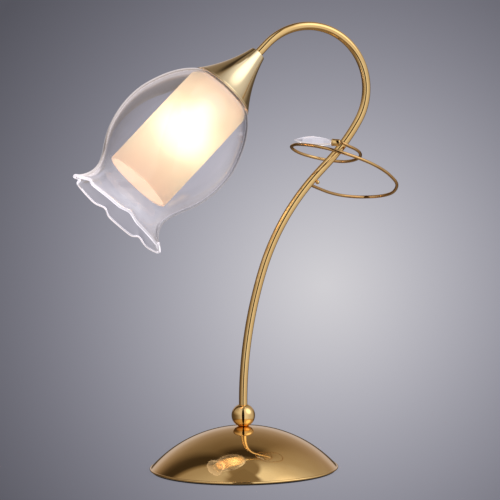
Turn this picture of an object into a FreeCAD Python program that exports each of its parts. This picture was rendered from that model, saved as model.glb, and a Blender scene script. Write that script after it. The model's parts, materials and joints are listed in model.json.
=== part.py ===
import FreeCAD, Part
import math
import os

# Table lamp with a tulip glass shade.  Millimetres, +Z up.  The origin is the
# centre of the foot, on the surface the lamp stands on.  The stem bends in the
# XZ plane and carries the head towards -X.

Vector = FreeCAD.Vector

# ---- base -------------------------------------------------------------------
BASE_DIAMETER = 160.0        # outside of the rolled rim
DOME_TOP = 38.0              # top of the dome above the table
DOME_WALL = 1.2
RIM_BEAD_RADIUS = 0.9        # rolled edge of the dome
RIM_BEAD_HEIGHT = 2.4        # centre of the bead above the table
FOOT_PAD_THICKNESS = 1.5
BOTTOM_PLATE_THICKNESS = 1.0
BOTTOM_PLATE_GAP = 0.6       # round gap between the bottom plate and the rim bead
WEIGHT_INSET = 18.0          # from the dome's rim in to the weight's edge
WEIGHT_SEAT_HEIGHT = 1.0     # band of the weight that bears on the dome's inside
SEAT_CLEARANCE = 0.1         # curved faces that bear on each other
WIRE_CHANNEL_WIDTH = 24.0
WIRE_CHANNEL_TOP = 13.5
NUT_POCKET_RADIUS = 11.0
CORD_NOTCH_WIDTH = 15.0
CORD_NOTCH_DEPTH = 12.0      # how far the notch runs in from the weight's edge
PLATE_SCREW_COUNT = 3
PLATE_SCREW_INSET = 18.0     # from the weight's edge in to the screws
PLATE_SCREW_RADIUS = 2.0
PLATE_SCREW_LENGTH = 9.0
PLATE_SCREW_HEAD_RADIUS = 3.6
PLATE_SCREW_HEAD_HEIGHT = 0.8
SCREW_CLEARANCE = 0.1
SCREW_END_ROOM = 1.0

# ---- ball at the foot of the stem -------------------------------------------
BALL_DIAMETER = 20.0
BALL_FLAT = 1.0              # taken off the ball's underside to seat on the dome

# ---- stem -------------------------------------------------------------------
STEM_DIAMETER = 7.2
STEM_WALL = 0.8
STEM_FIT = 0.1               # radial clearance of holes that the stem passes
STEM_FOOT_END = 8.0          # lower end of the tube above the table
FIRST_BEND_HEIGHT = 54.0     # where the stem starts to lean
FOOT_BEND = (360.0, 18.8)    # radius and angle of each bend, from the foot up
WAIST_BEND = (200.0, 27.2)
WAIST_STRAIGHT = 15.0
RETURN_BEND = (176.0, 14.0)
HOOK_RADIUS = 53.5
HEAD_TILT = 44.0             # head axis below the horizontal
NECK_STRAIGHT = 10.4         # from the end of the hook to the cone
STEM_NUT_FLATS = 13.0
STEM_NUT_HEIGHT = 4.0
NUT_CHAMFER = 0.35
STEM_WASHER_RADIUS = 9.5
STEM_WASHER_THICKNESS = 1.0

# ---- flex bushing at the back of the base -----------------------------------
BUSHING_HEIGHT = 11.0
BUSHING_BORE_RADIUS = 3.3
BUSHING_SLEEVE_RADIUS = 4.5
BUSHING_COLLAR_RADIUS = 6.2
BUSHING_COLLAR_WIDTH = 2.0
BUSHING_NUT_WIDTH = 2.0
BUSHING_PAST_NUT = 1.0
BUSHING_FIT = 0.1
BUSHING_SEAT = 0.2

# ---- wiring -----------------------------------------------------------------
WIRE_DIAMETER = 1.9
WIRE_SPACING = 2.1           # centre to centre inside the stem
WIRE_SPLIT_ABOVE = 1.0       # inside the stem's foot, where the cores start to bend
WIRE_FOOT_BEND = 3.8
WIRE_SHORT_OF_SCREW = 1.8    # from the end of a core to the middle of the block
WIRE_SPREAD_RADIUS = 6.0
WIRE_SPREAD_ANGLE = 30.0
WIRE_HEAD_SPREAD_RADIUS = 4.0
BLOCK_NEAR_SIDE = 24.0       # face of the terminal block towards the stem
BLOCK_WIDTH = 18.0
BLOCK_DEPTH = 14.0
BLOCK_HEIGHT = 8.5
BLOCK_PITCH = 8.0            # between the two poles
BLOCK_CORNER_RADIUS = 1.0
BLOCK_TUBE_RADIUS = 2.15
BLOCK_TUBE_BORE = 1.2
BLOCK_TUBE_INSET = 1.0
BLOCK_WELL_RADIUS = 1.9
BLOCK_SCREW_RADIUS = 1.0
BLOCK_SLOT = 0.6
BLOCK_SCREW_LENGTH = 3.4     # from the core it clamps to its slot
BLOCK_LIFT = 0.1

# ---- curl of wire with the crystal leaf -------------------------------------
CURL_WIRE_DIAMETER = 2.7
CURL_ROUTE = (               # centre line, from the stem to the leaf's cap
    (74.2, 5.3, 236.2), (86.3, 12.5, 232.1), (102.9, 19.2, 228.3), (121.7, 19.6, 226.6),
    (134.9, 8.8, 228.2), (138.0, -4.7, 232.2), (136.4, -15.8, 238.4), (125.0, -27.6, 248.0),
    (107.7, -36.0, 257.6), (90.9, -39.4, 264.5), (75.7, -36.9, 269.9), (62.7, -28.8, 273.7),
    (52.8, -12.8, 275.5), (49.4, 0.7, 274.9), (50.1, 9.5, 272.8), (58.3, 18.7, 268.1),
    (73.5, 25.9, 263.0), (87.4, 26.0, 259.7), (101.4, 17.0, 258.0), (106.4, 4.5, 260.1),
    (106.1, -8.2, 264.0), (98.6, -19.8, 269.5), (89.1, -25.3, 273.5),
)
CURL_START_ALONG = -18.4     # from the middle of the waist straight, along the stem
CURL_START_AROUND = 0.0      # turn of the joint round the stem, from +X towards -Y
CURL_PIN_ALONG = -12.7
CURL_PIN_AROUND = 21.0
CURL_PIN_SEAT = 1.36         # centre of the pin's ball above the stem's surface
CURL_PIN_RADIUS = 1.7
CURL_PIN_SHANK = 0.8
LEAF_ROOT = (75.0, -20.6, 277.2)
LEAF_TIP = (48.3, -2.1, 279.2)
LEAF_WIDTH = 8.6
LEAF_THICKNESS = 5.0
LEAF_RIDGE_SHARE = 0.45      # share of the width between the two ridges of a face
LEAF_CUT_SHARES = (          # share of the length, of the width and of the thickness
    (0.0, 0.42, 0.78), (0.22, 0.78, 0.95), (0.5, 1.0, 1.0), (0.78, 0.66, 0.8), (1.0, 0.06, 0.1),
)
LEAF_CAP_LENGTH = 7.4
LEAF_CAP_RADIUS = 3.0
LEAF_CAP_WALL = 0.5
LEAF_CAP_CHAMFER = 0.9
LEAF_CAP_GRIP = 2.4          # depth of the leaf's root in its cap
LEAF_CAP_SOCKET = 2.4        # depth of the wire's end in the cap
LEAF_CAP_LEAD = 0.6          # straight wire before the cap
LEAF_FIT = 0.1

# ---- cone above the shade: distances down the head axis from the cone's top -
CONE_LENGTH = 45.2
CONE_TOP_RADIUS = 6.9
CONE_RIM_RADIUS = 29.0
CONE_FLARE = 2.5             # how far its side curves in from a straight line
CONE_WALL = 1.0
CONE_LIP = 1.5               # closed top round the stem
THREAD_RADIUS = 5.0          # M10 x 1
THREAD_FIT = 0.05
NIPPLE_IN_HOLDER = 7.3
STEM_IN_NIPPLE = 10.5
LOCKNUT_FLATS = 13.0
LOCKNUT_HEIGHT = 3.0
LOCKNUT_TO_HOLDER = 0.2

# ---- lampholder E14 ---------------------------------------------------------
# From here down, stations are distances down the head axis from the cone's
# rim, and those above the rim are negative.
HOLDER_TOP = -33.0
HOLDER_ENTRY_RADIUS = 8.0
HOLDER_ENTRY_LENGTH = 8.0
HOLDER_SHOULDER = -19.2      # where the cap reaches its full width
HOLDER_CAP_END = -13.2
HOLDER_CAP_RADIUS = 14.8
HOLDER_WALL = 1.5
HOLDER_SPIGOT_LENGTH = 3.0
HOLDER_SKIRT_RADIUS = 14.0
HOLDER_SKIRT_END = 18.3
HOLDER_CHAMBER_RADIUS = 11.2
HOLDER_STEP = -0.7           # the skirt narrows to the screw shell here
HOLDER_CHAMFER = 1.0
HOLDER_FIT = 0.1
INSERT_TOP = -11.7
INSERT_WELL_RADIUS = 6.0
INSERT_WELL_DEPTH = 3.6
SHELL_INNER_RADIUS = 7.15
SHELL_WALL = 0.4
SHELL_LENGTH = 15.0
SHELL_FLANGE_RADIUS = 10.6
SHELL_FLANGE_THICKNESS = 0.8
CONTACT_RADIUS = 3.0
CONTACT_THICKNESS = 0.5
CONTACT_POST_RADIUS = 1.0
CONTACT_POST_OUT = 1.0       # end of the post above the insert
TERMINAL_OFFSET = 4.5        # holder terminals either side of the head axis
TERMINAL_SIZE = 4.0
TERMINAL_SCREW_RADIUS = 1.2
TERMINAL_SCREW_OUT = 1.5
TERMINAL_TOP = -16.7

# ---- what clamps the two glasses --------------------------------------------
GLASS_HOLE_RADIUS = 14.4
UPPER_RING_TOP = -5.3
UPPER_RING_THICKNESS = 2.6
UPPER_RING_RADIUS = 20.0
GASKET_THICKNESS = 0.9
GASKET_RADIUS = 19.5
LOWER_RING_THICKNESS = 5.0
LOWER_RING_RADIUS = 18.5
RING_FLUTE_COUNT = 18
RING_FLUTE_RADIUS = 0.9
RING_FIT = 0.15

# ---- tulip glass ------------------------------------------------------------
TULIP_WALL = 2.0
TULIP_MOUTH = 136.6          # petal tips
TULIP_NOTCHES = (33.0, 92.0, 143.0, 215.0, 277.0, 339.0)  # between the petals, round the head axis
TULIP_NOTCH_IN = 2.8         # how far a notch is drawn in
TULIP_NOTCH_BACK = 2.8       # how far a notch is drawn back
TULIP_NOTCH_SHARPNESS = 6
TULIP_FLAT_RADIUS = 21.0     # the top is flat as far as this
TULIP_RADIUS = 54.2
# the outline, as shares of the widest radius and of the way from the flat top to the mouth
TULIP_SHOULDER_SHARES = ((0.4539, 0.0043), (0.5277, 0.0188), (0.6458, 0.0607), (0.7601, 0.1214))
TULIP_BELLY_SHARES = (
    (0.9077, 0.2442), (0.9797, 0.3439), (1.0000, 0.4306),
    (0.9779, 0.5390), (0.9041, 0.6474), (0.7970, 0.7377),
)
TULIP_NECK_SHARES = ((0.7159, 0.8027), (0.6808, 0.8569))
TULIP_LIP_SHARES = ((0.6956, 0.9039), (0.7454, 0.9436), (0.8192, 0.9769), (0.8985, 1.0000))
TULIP_RING_POINTS = 72       # points round the glass
TULIP_DROOP = 5.6            # how far the blown mouth hangs below the head axis
TULIP_DROOP_SHARE = 0.698    # share of the way to the mouth where the glass starts to droop
TULIP_DROOP_POWER = 1.3
TULIP_LIP_POWER = 1.5        # how late the notches grow from the neck to the mouth
TULIP_SHORT_BACK = 1.8       # degrees that the mouth is out of square, its back short
TULIP_SHORT_BELOW = 1.8      # the same, with its lower side short

# ---- frosted inner cylinder -------------------------------------------------
FROST_RADIUS = 29.8
FROST_WALL = 2.0
FROST_TOP_THICKNESS = 2.5
FROST_SHOULDER = 7.0
FROST_END = 105.5            # open end

# ---- bulb, 45 mm round with E14 cap -----------------------------------------
BULB_DIAMETER = 45.0
BULB_CENTRE = 49.3
BULB_WALL = 0.8
BULB_JOIN_ANGLE = 48.0       # where the ball runs out into the neck
BULB_NECK_RADIUS = 6.2
BULB_NECK_OUT = 2.5          # straight neck past the cap
BULB_NECK_END = 16.8
BULB_CAP_TOP = -0.2
BULB_CAP_END = 19.3
BULB_CAP_RADIUS = 6.95
BULB_CAP_ROOT = 6.45
BULB_THREAD_PITCH = 2.82
BULB_THREAD_TURNS = 5
BULB_TIP_END = -4.4
BULB_TIP_RADIUS = 2.3
BULB_TIP_HEIGHT = 1.2
BULB_CAP_WALL = 0.2
BULB_CAP_SEAM = 0.6          # plain edge before the first ridge
BULB_INSULATOR_RADIUS = 5.0
BULB_INSULATOR_FIT = 0.05
BULB_INSULATOR_IN = 2.2      # how far it reaches into the cap
BULB_MOUNT_RADIUS = 3.0
BULB_MOUNT_LENGTH = 15.0
BULB_MOUNT_FLARE = 5.0
BULB_MOUNT_FIT = 0.1
BULB_LEAD_RADIUS = 0.5
BULB_LEAD_SPREAD = 6.0
FILAMENT_RADIUS = 0.5
FILAMENT_RISE = 3.0

# ---- sizes that follow from the ones above ----------------------------------
dome_rim_radius = BASE_DIAMETER / 2 - RIM_BEAD_RADIUS + DOME_WALL / 4
dome_rise = DOME_TOP - RIM_BEAD_HEIGHT
dome_radius = (dome_rim_radius ** 2 + dome_rise ** 2) / (2 * dome_rise)
dome_centre = DOME_TOP - dome_radius
weight_radius = BASE_DIAMETER / 2 - WEIGHT_INSET
plate_screw_circle = weight_radius - PLATE_SCREW_INSET
plate_top = FOOT_PAD_THICKNESS + BOTTOM_PLATE_THICKNESS
plate_radius = BASE_DIAMETER / 2 - 2 * RIM_BEAD_RADIUS - BOTTOM_PLATE_GAP
stem_radius = STEM_DIAMETER / 2
stem_hole = stem_radius + STEM_FIT
thread_bore = THREAD_RADIUS + THREAD_FIT
holder_bore = HOLDER_SKIRT_RADIUS + RING_FIT
gasket_one_top = UPPER_RING_TOP + UPPER_RING_THICKNESS
tulip_top = gasket_one_top + GASKET_THICKNESS
gasket_two_top = tulip_top + TULIP_WALL
frost_top = gasket_two_top + GASKET_THICKNESS
lower_ring_top = frost_top + FROST_TOP_THICKNESS
tulip_length = TULIP_MOUTH - tulip_top
tulip_neck = tulip_top + tulip_length * TULIP_NECK_SHARES[-1][1]
tulip_droop_start = tulip_top + tulip_length * TULIP_DROOP_SHARE
tulip_short_back = math.tan(math.radians(TULIP_SHORT_BACK))
tulip_short_below = math.tan(math.radians(TULIP_SHORT_BELOW))
hook_angle = 180.0 + HEAD_TILT - (90.0 - FOOT_BEND[1] - WAIST_BEND[1] + RETURN_BEND[1])
stem_past_cone_top = CONE_LIP + STEM_IN_NIPPLE
cone_boss = CONE_LENGTH + HOLDER_TOP - LOCKNUT_TO_HOLDER - LOCKNUT_HEIGHT  # the solid, threaded part
nipple_length = CONE_LENGTH + HOLDER_TOP + NIPPLE_IN_HOLDER - CONE_LIP
wire_split_height = STEM_FOOT_END + WIRE_SPLIT_ABOVE
wire_run_height = wire_split_height - WIRE_FOOT_BEND

UP = Vector(0, 0, 1)
ORIGIN = Vector(0, 0, 0)
ALONG_Y = Vector(0, 1, 0)
BEND_AXIS = ALONG_Y          # a positive turn about it leans the stem towards +X


def save(name, shape):
    """Write one sub-part to its own file."""
    shape.exportStep(os.path.join("parts", name + ".step"))
    report = (name, len(shape.Solids), shape.Volume, shape.isValid())
    print("%-18s solids %2d  volume %10.1f  valid %s" % report)


class Outline:
    """A closed half section, drawn as (radius, height) and turned about the Z axis."""

    def __init__(self, radius, height):
        self.start = Vector(radius, 0, height)
        self.here = self.start
        self.edges = []

    def line(self, radius, height):
        end = Vector(radius, 0, height)
        self.edges.append(Part.makeLine(self.here, end))
        self.here = end
        return self

    def arc(self, middle, end):
        middle = Vector(middle[0], 0, middle[1])
        end = Vector(end[0], 0, end[1])
        self.edges.append(Part.Arc(self.here, middle, end).toShape())
        self.here = end
        return self

    def turned(self):
        if self.here.distanceToPoint(self.start) > 1e-6:
            self.edges.append(Part.makeLine(self.here, self.start))
        face = Part.Face(Part.Wire(self.edges))
        solid = face.revolve(ORIGIN, UP, 360)
        return solid if solid.Volume > 0 else solid.reversed()


class Route:
    """A centre line of straight runs and tangent arcs, drawn run by run."""

    def __init__(self, start, heading):
        self.here = Vector(start)
        self.heading = Vector(heading).normalize()
        self.edges = []

    def straight(self, length):
        end = self.here + self.heading * length
        self.edges.append(Part.makeLine(self.here, end))
        self.here = end
        return self

    def bend(self, radius, degrees, axis):
        """Turn by the right-hand rule about an axis square to the heading."""
        sign = 1.0 if degrees > 0 else -1.0
        centre = self.here + axis.cross(self.heading) * (radius * sign)
        half = FreeCAD.Rotation(axis, degrees / 2)
        whole = FreeCAD.Rotation(axis, degrees)
        spoke = self.here - centre
        end = centre + whole.multVec(spoke)
        self.edges.append(Part.Arc(self.here, centre + half.multVec(spoke), end).toShape())
        self.here = end
        self.heading = whole.multVec(self.heading)
        return self

    def wire(self):
        return Part.Wire(self.edges)


def tube_along(wire, radius, bore=0.0):
    """A round bar or tube along a centre line."""
    edge = wire.OrderedEdges[0]
    start = edge.valueAt(edge.FirstParameter)
    heading = edge.tangentAt(edge.FirstParameter)
    bar = wire.makePipeShell([Part.Wire(Part.makeCircle(radius, start, heading))], True, False)
    if bore > 0:
        bar = bar.cut(wire.makePipeShell([Part.Wire(Part.makeCircle(bore, start, heading))], True, False))
    return bar


def disc(radius, bottom, height, hole=0.0):
    """A round plate or washer about the Z axis."""
    plate = Part.makeCylinder(radius, height, Vector(0, 0, bottom))
    if hole > 0:
        plate = plate.cut(Part.makeCylinder(hole, height, Vector(0, 0, bottom)))
    return plate


def on_circle(radius, degrees, height=0.0):
    """Point at this angle on a circle about the Z axis."""
    angle = math.radians(degrees)
    return Vector(radius * math.cos(angle), radius * math.sin(angle), height)


def hex_nut(flats, bottom, height, hole):
    """A hexagon nut about the Z axis, with its corners chamfered at both faces."""
    corner = flats / math.sqrt(3)
    top = bottom + height
    blank = Part.Face(Part.makePolygon([on_circle(corner, 60 * i, bottom) for i in range(7)]))
    limit = Outline(0, bottom).line(corner - NUT_CHAMFER, bottom).line(corner, bottom + NUT_CHAMFER)
    limit.line(corner, top - NUT_CHAMFER).line(corner - NUT_CHAMFER, top).line(0, top)
    nut = blank.extrude(Vector(0, 0, height)).common(limit.turned())
    return nut.cut(Part.makeCylinder(hole, height, Vector(0, 0, bottom)))


# ---- the stem's centre line -------------------------------------------------

def stem_route(offset=0.0, foot=STEM_FOOT_END):
    """Centre line of the stem up to the cone's top, or a line beside it towards +X at the foot."""
    route = Route(Vector(offset, 0, foot), UP)
    route.straight(FIRST_BEND_HEIGHT - foot)
    route.bend(FOOT_BEND[0] - offset, FOOT_BEND[1], BEND_AXIS)
    route.bend(WAIST_BEND[0] - offset, WAIST_BEND[1], BEND_AXIS)
    route.straight(WAIST_STRAIGHT)
    route.bend(RETURN_BEND[0] + offset, -RETURN_BEND[1], BEND_AXIS)
    route.bend(HOOK_RADIUS + offset, -hook_angle, BEND_AXIS)
    route.straight(NECK_STRAIGHT)
    return route


stem_end = stem_route()
head_origin = stem_end.here
head_axis = stem_end.heading
head_placement = FreeCAD.Placement(head_origin, FreeCAD.Rotation(Vector(0, 1, 0), -(90.0 + HEAD_TILT)))


def on_head(shape):
    """Move a shape drawn about the Z axis, from the cone's top down, onto the head."""
    moved = shape.copy()
    moved.Placement = head_placement.multiply(moved.Placement)
    return moved


def on_rim(shape):
    """Move a shape drawn about the Z axis, from the cone's rim down, onto the head."""
    return on_head(shape.translated(UP * CONE_LENGTH))


def waist_point(along):
    """Point on the stem's axis, from the middle of the waist straight, and the heading there."""
    route = Route(Vector(0, 0, STEM_FOOT_END), UP).straight(FIRST_BEND_HEIGHT - STEM_FOOT_END)
    route.bend(FOOT_BEND[0], FOOT_BEND[1], BEND_AXIS)
    short_of_end = -along - WAIST_STRAIGHT / 2
    if short_of_end > 0:
        turned = WAIST_BEND[1] - math.degrees(short_of_end / WAIST_BEND[0])
        route.bend(WAIST_BEND[0], turned, BEND_AXIS)
        return route.here, route.heading
    route.bend(WAIST_BEND[0], WAIST_BEND[1], BEND_AXIS).straight(WAIST_STRAIGHT / 2 + along)
    return route.here, route.heading


# ---- base -------------------------------------------------------------------

def dome_height(radius, sphere):
    """Height of a sphere about the dome's centre at this radius."""
    return dome_centre + math.sqrt(sphere ** 2 - radius ** 2)


def sphere_arc(outline, sphere, end_radius):
    """Follow a sphere about the dome's centre to another radius."""
    middle_radius = (outline.here.x + end_radius) / 2
    middle = (middle_radius, dome_height(middle_radius, sphere))
    return outline.arc(middle, (end_radius, dome_height(end_radius, sphere)))


def bushing_bar(radius, start, length):
    """A round bar on the flex bushing's axis."""
    return Part.makeCylinder(radius, length, Vector(0, start, BUSHING_HEIGHT), ALONG_Y)


def dome_reach(height, sphere):
    """Radius of a sphere about the dome's centre at this height."""
    return math.sqrt(sphere ** 2 - (height - dome_centre) ** 2)


def base_dome():
    inner = dome_radius - DOME_WALL
    inner_edge = dome_rim_radius - DOME_WALL
    section = Outline(stem_hole, dome_height(stem_hole, dome_radius))
    sphere_arc(section, dome_radius, dome_rim_radius)
    section.line(inner_edge, dome_height(inner_edge, inner))
    sphere_arc(section, inner, stem_hole)
    bead_circle = BASE_DIAMETER / 2 - RIM_BEAD_RADIUS
    bead = Part.makeTorus(bead_circle, RIM_BEAD_RADIUS, Vector(0, 0, RIM_BEAD_HEIGHT))
    shell = section.turned().fuse(bead).removeSplitter()
    return shell.cut(bushing_bar(BUSHING_SLEEVE_RADIUS + BUSHING_FIT, 0, BASE_DIAMETER))


def base_weight():
    seat = dome_radius - DOME_WALL - SEAT_CLEARANCE
    top = dome_height(weight_radius, seat) + WEIGHT_SEAT_HEIGHT
    channel_height = WIRE_CHANNEL_TOP - plate_top
    casting = disc(weight_radius, plate_top, top - plate_top, stem_hole)
    casting = casting.common(Part.makeSphere(seat, Vector(0, 0, dome_centre)))
    casting = casting.cut(disc(NUT_POCKET_RADIUS, plate_top, channel_height))
    channel = Part.makeBox(WIRE_CHANNEL_WIDTH, weight_radius, channel_height,
                           Vector(-WIRE_CHANNEL_WIDTH / 2, 0, plate_top))
    notch = Part.makeBox(CORD_NOTCH_WIDTH, 2 * CORD_NOTCH_DEPTH, top,
                         Vector(-CORD_NOTCH_WIDTH / 2, weight_radius - CORD_NOTCH_DEPTH, plate_top))
    casting = casting.cut(channel).cut(notch)
    depth = PLATE_SCREW_LENGTH - BOTTOM_PLATE_THICKNESS + SCREW_END_ROOM
    hole = disc(PLATE_SCREW_RADIUS + SCREW_CLEARANCE, plate_top, depth)
    for place in plate_screw_places():
        casting = casting.cut(hole.translated(place))
    return casting


def plate_screw_places():
    """Screw positions, evenly spaced, with none on the wire channel at +Y."""
    step = 360.0 / PLATE_SCREW_COUNT
    return [on_circle(plate_screw_circle, 270.0 + step * i) for i in range(PLATE_SCREW_COUNT)]


def plate_screw():
    """Countersunk screw, drawn with its flush head at the plate's underside."""
    bottom = FOOT_PAD_THICKNESS
    head_end = bottom + PLATE_SCREW_HEAD_HEIGHT
    screw = Outline(0, bottom).line(PLATE_SCREW_HEAD_RADIUS, bottom).line(PLATE_SCREW_RADIUS, head_end)
    screw.line(PLATE_SCREW_RADIUS, bottom + PLATE_SCREW_LENGTH).line(0, bottom + PLATE_SCREW_LENGTH)
    slot = Part.makeBox(2 * PLATE_SCREW_HEAD_RADIUS, PLATE_SCREW_RADIUS / 2, PLATE_SCREW_HEAD_HEIGHT / 2,
                        Vector(-PLATE_SCREW_HEAD_RADIUS, -PLATE_SCREW_RADIUS / 4, bottom))
    return screw.turned().cut(slot)


def plate_screws():
    return Part.makeCompound([plate_screw().translated(place) for place in plate_screw_places()])


def bottom_plate():
    plate = disc(plate_radius, FOOT_PAD_THICKNESS, BOTTOM_PLATE_THICKNESS)
    bottom = FOOT_PAD_THICKNESS
    grow = SCREW_CLEARANCE
    sink = Outline(0, bottom).line(PLATE_SCREW_HEAD_RADIUS + grow, bottom)
    sink.line(PLATE_SCREW_RADIUS + grow, bottom + PLATE_SCREW_HEAD_HEIGHT)
    sink.line(PLATE_SCREW_RADIUS + grow, plate_top).line(0, plate_top)
    countersink = sink.turned()
    for place in plate_screw_places():
        plate = plate.cut(countersink.translated(place))
    return plate


def foot_pad():
    pad = disc(plate_radius, 0, FOOT_PAD_THICKNESS)
    return pad.makeChamfer(FOOT_PAD_THICKNESS / 5, [pad.Edges[0]])


def base_ball():
    radius = BALL_DIAMETER / 2
    centre = DOME_TOP - BALL_FLAT + radius
    ball = Part.makeSphere(radius, Vector(0, 0, centre))
    ball = ball.cut(Part.makeSphere(dome_radius + SEAT_CLEARANCE / 2, Vector(0, 0, dome_centre)))
    return ball.cut(Part.makeCylinder(stem_hole, BALL_DIAMETER, Vector(0, 0, centre - radius)))


def cord_bushing():
    collar_start = dome_reach(BUSHING_HEIGHT - BUSHING_COLLAR_RADIUS, dome_radius) + BUSHING_SEAT
    nut_end = bushing_nut_end()
    sleeve_start = nut_end - BUSHING_NUT_WIDTH - BUSHING_PAST_NUT
    sleeve = bushing_bar(BUSHING_SLEEVE_RADIUS, sleeve_start, collar_start - sleeve_start)
    collar = bushing_bar(BUSHING_COLLAR_RADIUS, collar_start, BUSHING_COLLAR_WIDTH)
    collar = collar.makeFillet(BUSHING_COLLAR_WIDTH / 3, [collar.Edges[0], collar.Edges[2]])
    bush = sleeve.fuse(collar).removeSplitter()
    return bush.cut(bushing_bar(BUSHING_BORE_RADIUS, 0, BASE_DIAMETER))


def bushing_nut_end():
    """Where the nut bears on the dome's inside, at the top of the hole."""
    hole_high = BUSHING_HEIGHT + BUSHING_COLLAR_RADIUS
    return dome_reach(hole_high, dome_radius - DOME_WALL) - BUSHING_SEAT


def bushing_nut():
    nut = bushing_bar(BUSHING_COLLAR_RADIUS, bushing_nut_end() - BUSHING_NUT_WIDTH, BUSHING_NUT_WIDTH)
    return nut.cut(bushing_bar(BUSHING_SLEEVE_RADIUS + THREAD_FIT, 0, BASE_DIAMETER))


def stem_nut():
    top = WIRE_CHANNEL_TOP - STEM_WASHER_THICKNESS
    return hex_nut(STEM_NUT_FLATS, top - STEM_NUT_HEIGHT, STEM_NUT_HEIGHT, stem_radius + THREAD_FIT)


def stem_washer():
    bottom = WIRE_CHANNEL_TOP - STEM_WASHER_THICKNESS
    return disc(STEM_WASHER_RADIUS, bottom, STEM_WASHER_THICKNESS, stem_hole)


# ---- wiring -----------------------------------------------------------------

def block_poles():
    return (-BLOCK_PITCH / 2, BLOCK_PITCH / 2)


def terminal_block():
    """Moulded two-pole block in the weight's channel."""
    corner = Vector(-BLOCK_WIDTH / 2, BLOCK_NEAR_SIDE, plate_top + BLOCK_LIFT)
    block = Part.makeBox(BLOCK_WIDTH, BLOCK_DEPTH, BLOCK_HEIGHT, corner)
    upright = [edge for edge in block.Edges if abs(edge.tangentAt(edge.FirstParameter).z) > 0.9]
    block = block.makeFillet(BLOCK_CORNER_RADIUS, upright)
    for x in block_poles():
        mouth = Vector(x, BLOCK_NEAR_SIDE, wire_run_height)
        bore = Part.makeCylinder(BLOCK_TUBE_RADIUS + SCREW_CLEARANCE / 2, BLOCK_DEPTH, mouth, ALONG_Y)
        well = Part.makeCylinder(BLOCK_WELL_RADIUS, BLOCK_HEIGHT, mouth + ALONG_Y * (BLOCK_DEPTH / 2))
        block = block.cut(bore).cut(well)
    return block


def terminal_tubes():
    """Brass tubes of the block, each with its clamping screw."""
    pieces = []
    length = BLOCK_DEPTH - 2 * BLOCK_TUBE_INSET
    for x in block_poles():
        start = Vector(x, BLOCK_NEAR_SIDE + BLOCK_TUBE_INSET, wire_run_height)
        tube = Part.makeCylinder(BLOCK_TUBE_RADIUS, length, start, ALONG_Y)
        tube = tube.cut(Part.makeCylinder(BLOCK_TUBE_BORE, length, start, ALONG_Y))
        axis = start + ALONG_Y * (length / 2)
        seat = axis + UP * (WIRE_DIAMETER / 2)
        screw = Part.makeCylinder(BLOCK_SCREW_RADIUS, BLOCK_SCREW_LENGTH, seat)
        corner = seat + Vector(-BLOCK_SCREW_RADIUS, -BLOCK_SLOT / 2, BLOCK_SCREW_LENGTH - BLOCK_SLOT)
        slot = Part.makeBox(2 * BLOCK_SCREW_RADIUS, BLOCK_SLOT, BLOCK_SLOT, corner)
        hole = Part.makeCylinder(BLOCK_SCREW_RADIUS, BLOCK_SCREW_LENGTH, axis)
        pieces += [tube.cut(hole), screw.cut(slot)]
    return Part.makeCompound(pieces)


def sideways(route, shift, radius, angle, axis):
    """Two equal and opposite bends that move a route sideways, with a straight between them."""
    lean = math.radians(angle)
    between = (abs(shift) - 2 * radius * (1 - math.cos(lean))) / math.sin(lean)
    turn = angle if shift > 0 else -angle
    route.bend(radius, turn, axis)
    route.straight(between)
    route.bend(radius, -turn, axis)
    return 2 * radius * math.sin(lean) + between * math.cos(lean)


def supply_wire(side):
    """One core from the terminal block up the stem to the lampholder; side is -1 or +1."""
    offset = side * WIRE_SPACING / 2
    # from the foot of the stem down and back to the block
    tail = Route(Vector(offset, 0, wire_split_height), -UP)
    tail.bend(WIRE_FOOT_BEND, 90.0, Vector(1, 0, 0))
    spread = side * (BLOCK_PITCH / 2) - offset
    used = sideways(tail, spread, WIRE_SPREAD_RADIUS, WIRE_SPREAD_ANGLE, -UP)
    tail.straight(BLOCK_NEAR_SIDE + BLOCK_DEPTH / 2 - WIRE_SHORT_OF_SCREW - WIRE_FOOT_BEND - used)
    # up the stem, out of the nipple and away from the head axis in the stem's plane
    rise = stem_route(offset, wire_split_height).straight(CONE_LIP + nipple_length)
    spread = side * TERMINAL_OFFSET - offset
    used = sideways(rise, spread, WIRE_HEAD_SPREAD_RADIUS, WIRE_SPREAD_ANGLE, BEND_AXIS)
    rise.straight(CONE_LENGTH + TERMINAL_TOP - nipple_length - CONE_LIP - used)
    lower = tube_along(tail.wire(), WIRE_DIAMETER / 2)
    upper = tube_along(rise.wire(), WIRE_DIAMETER / 2)
    return upper.fuse(lower).removeSplitter()


# ---- stem -------------------------------------------------------------------

def stem_tube():
    route = stem_route()
    route.straight(stem_past_cone_top)
    tube = tube_along(route.wire(), stem_radius, stem_radius - STEM_WALL)
    place, side = out_of_stem(CURL_PIN_ALONG, CURL_PIN_AROUND)
    return tube.cut(Part.makeCylinder(CURL_PIN_SHANK + THREAD_FIT, STEM_DIAMETER, place, side))


# ---- curl -------------------------------------------------------------------

def out_of_stem(along, around):
    """Point on the stem's axis near its waist, and a direction square to the stem there."""
    place, heading = waist_point(along)
    side = BEND_AXIS.cross(heading)
    return place, FreeCAD.Rotation(heading, -around).multVec(side)


def tangent_at(before, here, after):
    """Direction at a point of the circle through it and its two neighbours."""
    back = here - before
    ahead = after - here
    return (back * (ahead.Length / back.Length) + ahead * (back.Length / ahead.Length)).normalize()


def biarc(start, start_heading, end, end_heading):
    """Two tangent arcs that join two points with given headings."""
    span = end - start
    both = start_heading + end_heading
    spread = 2 * (1 - start_heading.dot(end_heading))
    along = span.dot(both)
    reach = (math.sqrt(along ** 2 + spread * span.dot(span)) - along) / spread
    first = start + start_heading * reach
    second = end - end_heading * reach
    joint = (first + second) * 0.5
    return [arc_from(start, start_heading, joint), arc_from(joint, (second - first).normalize(), end)]


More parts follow.
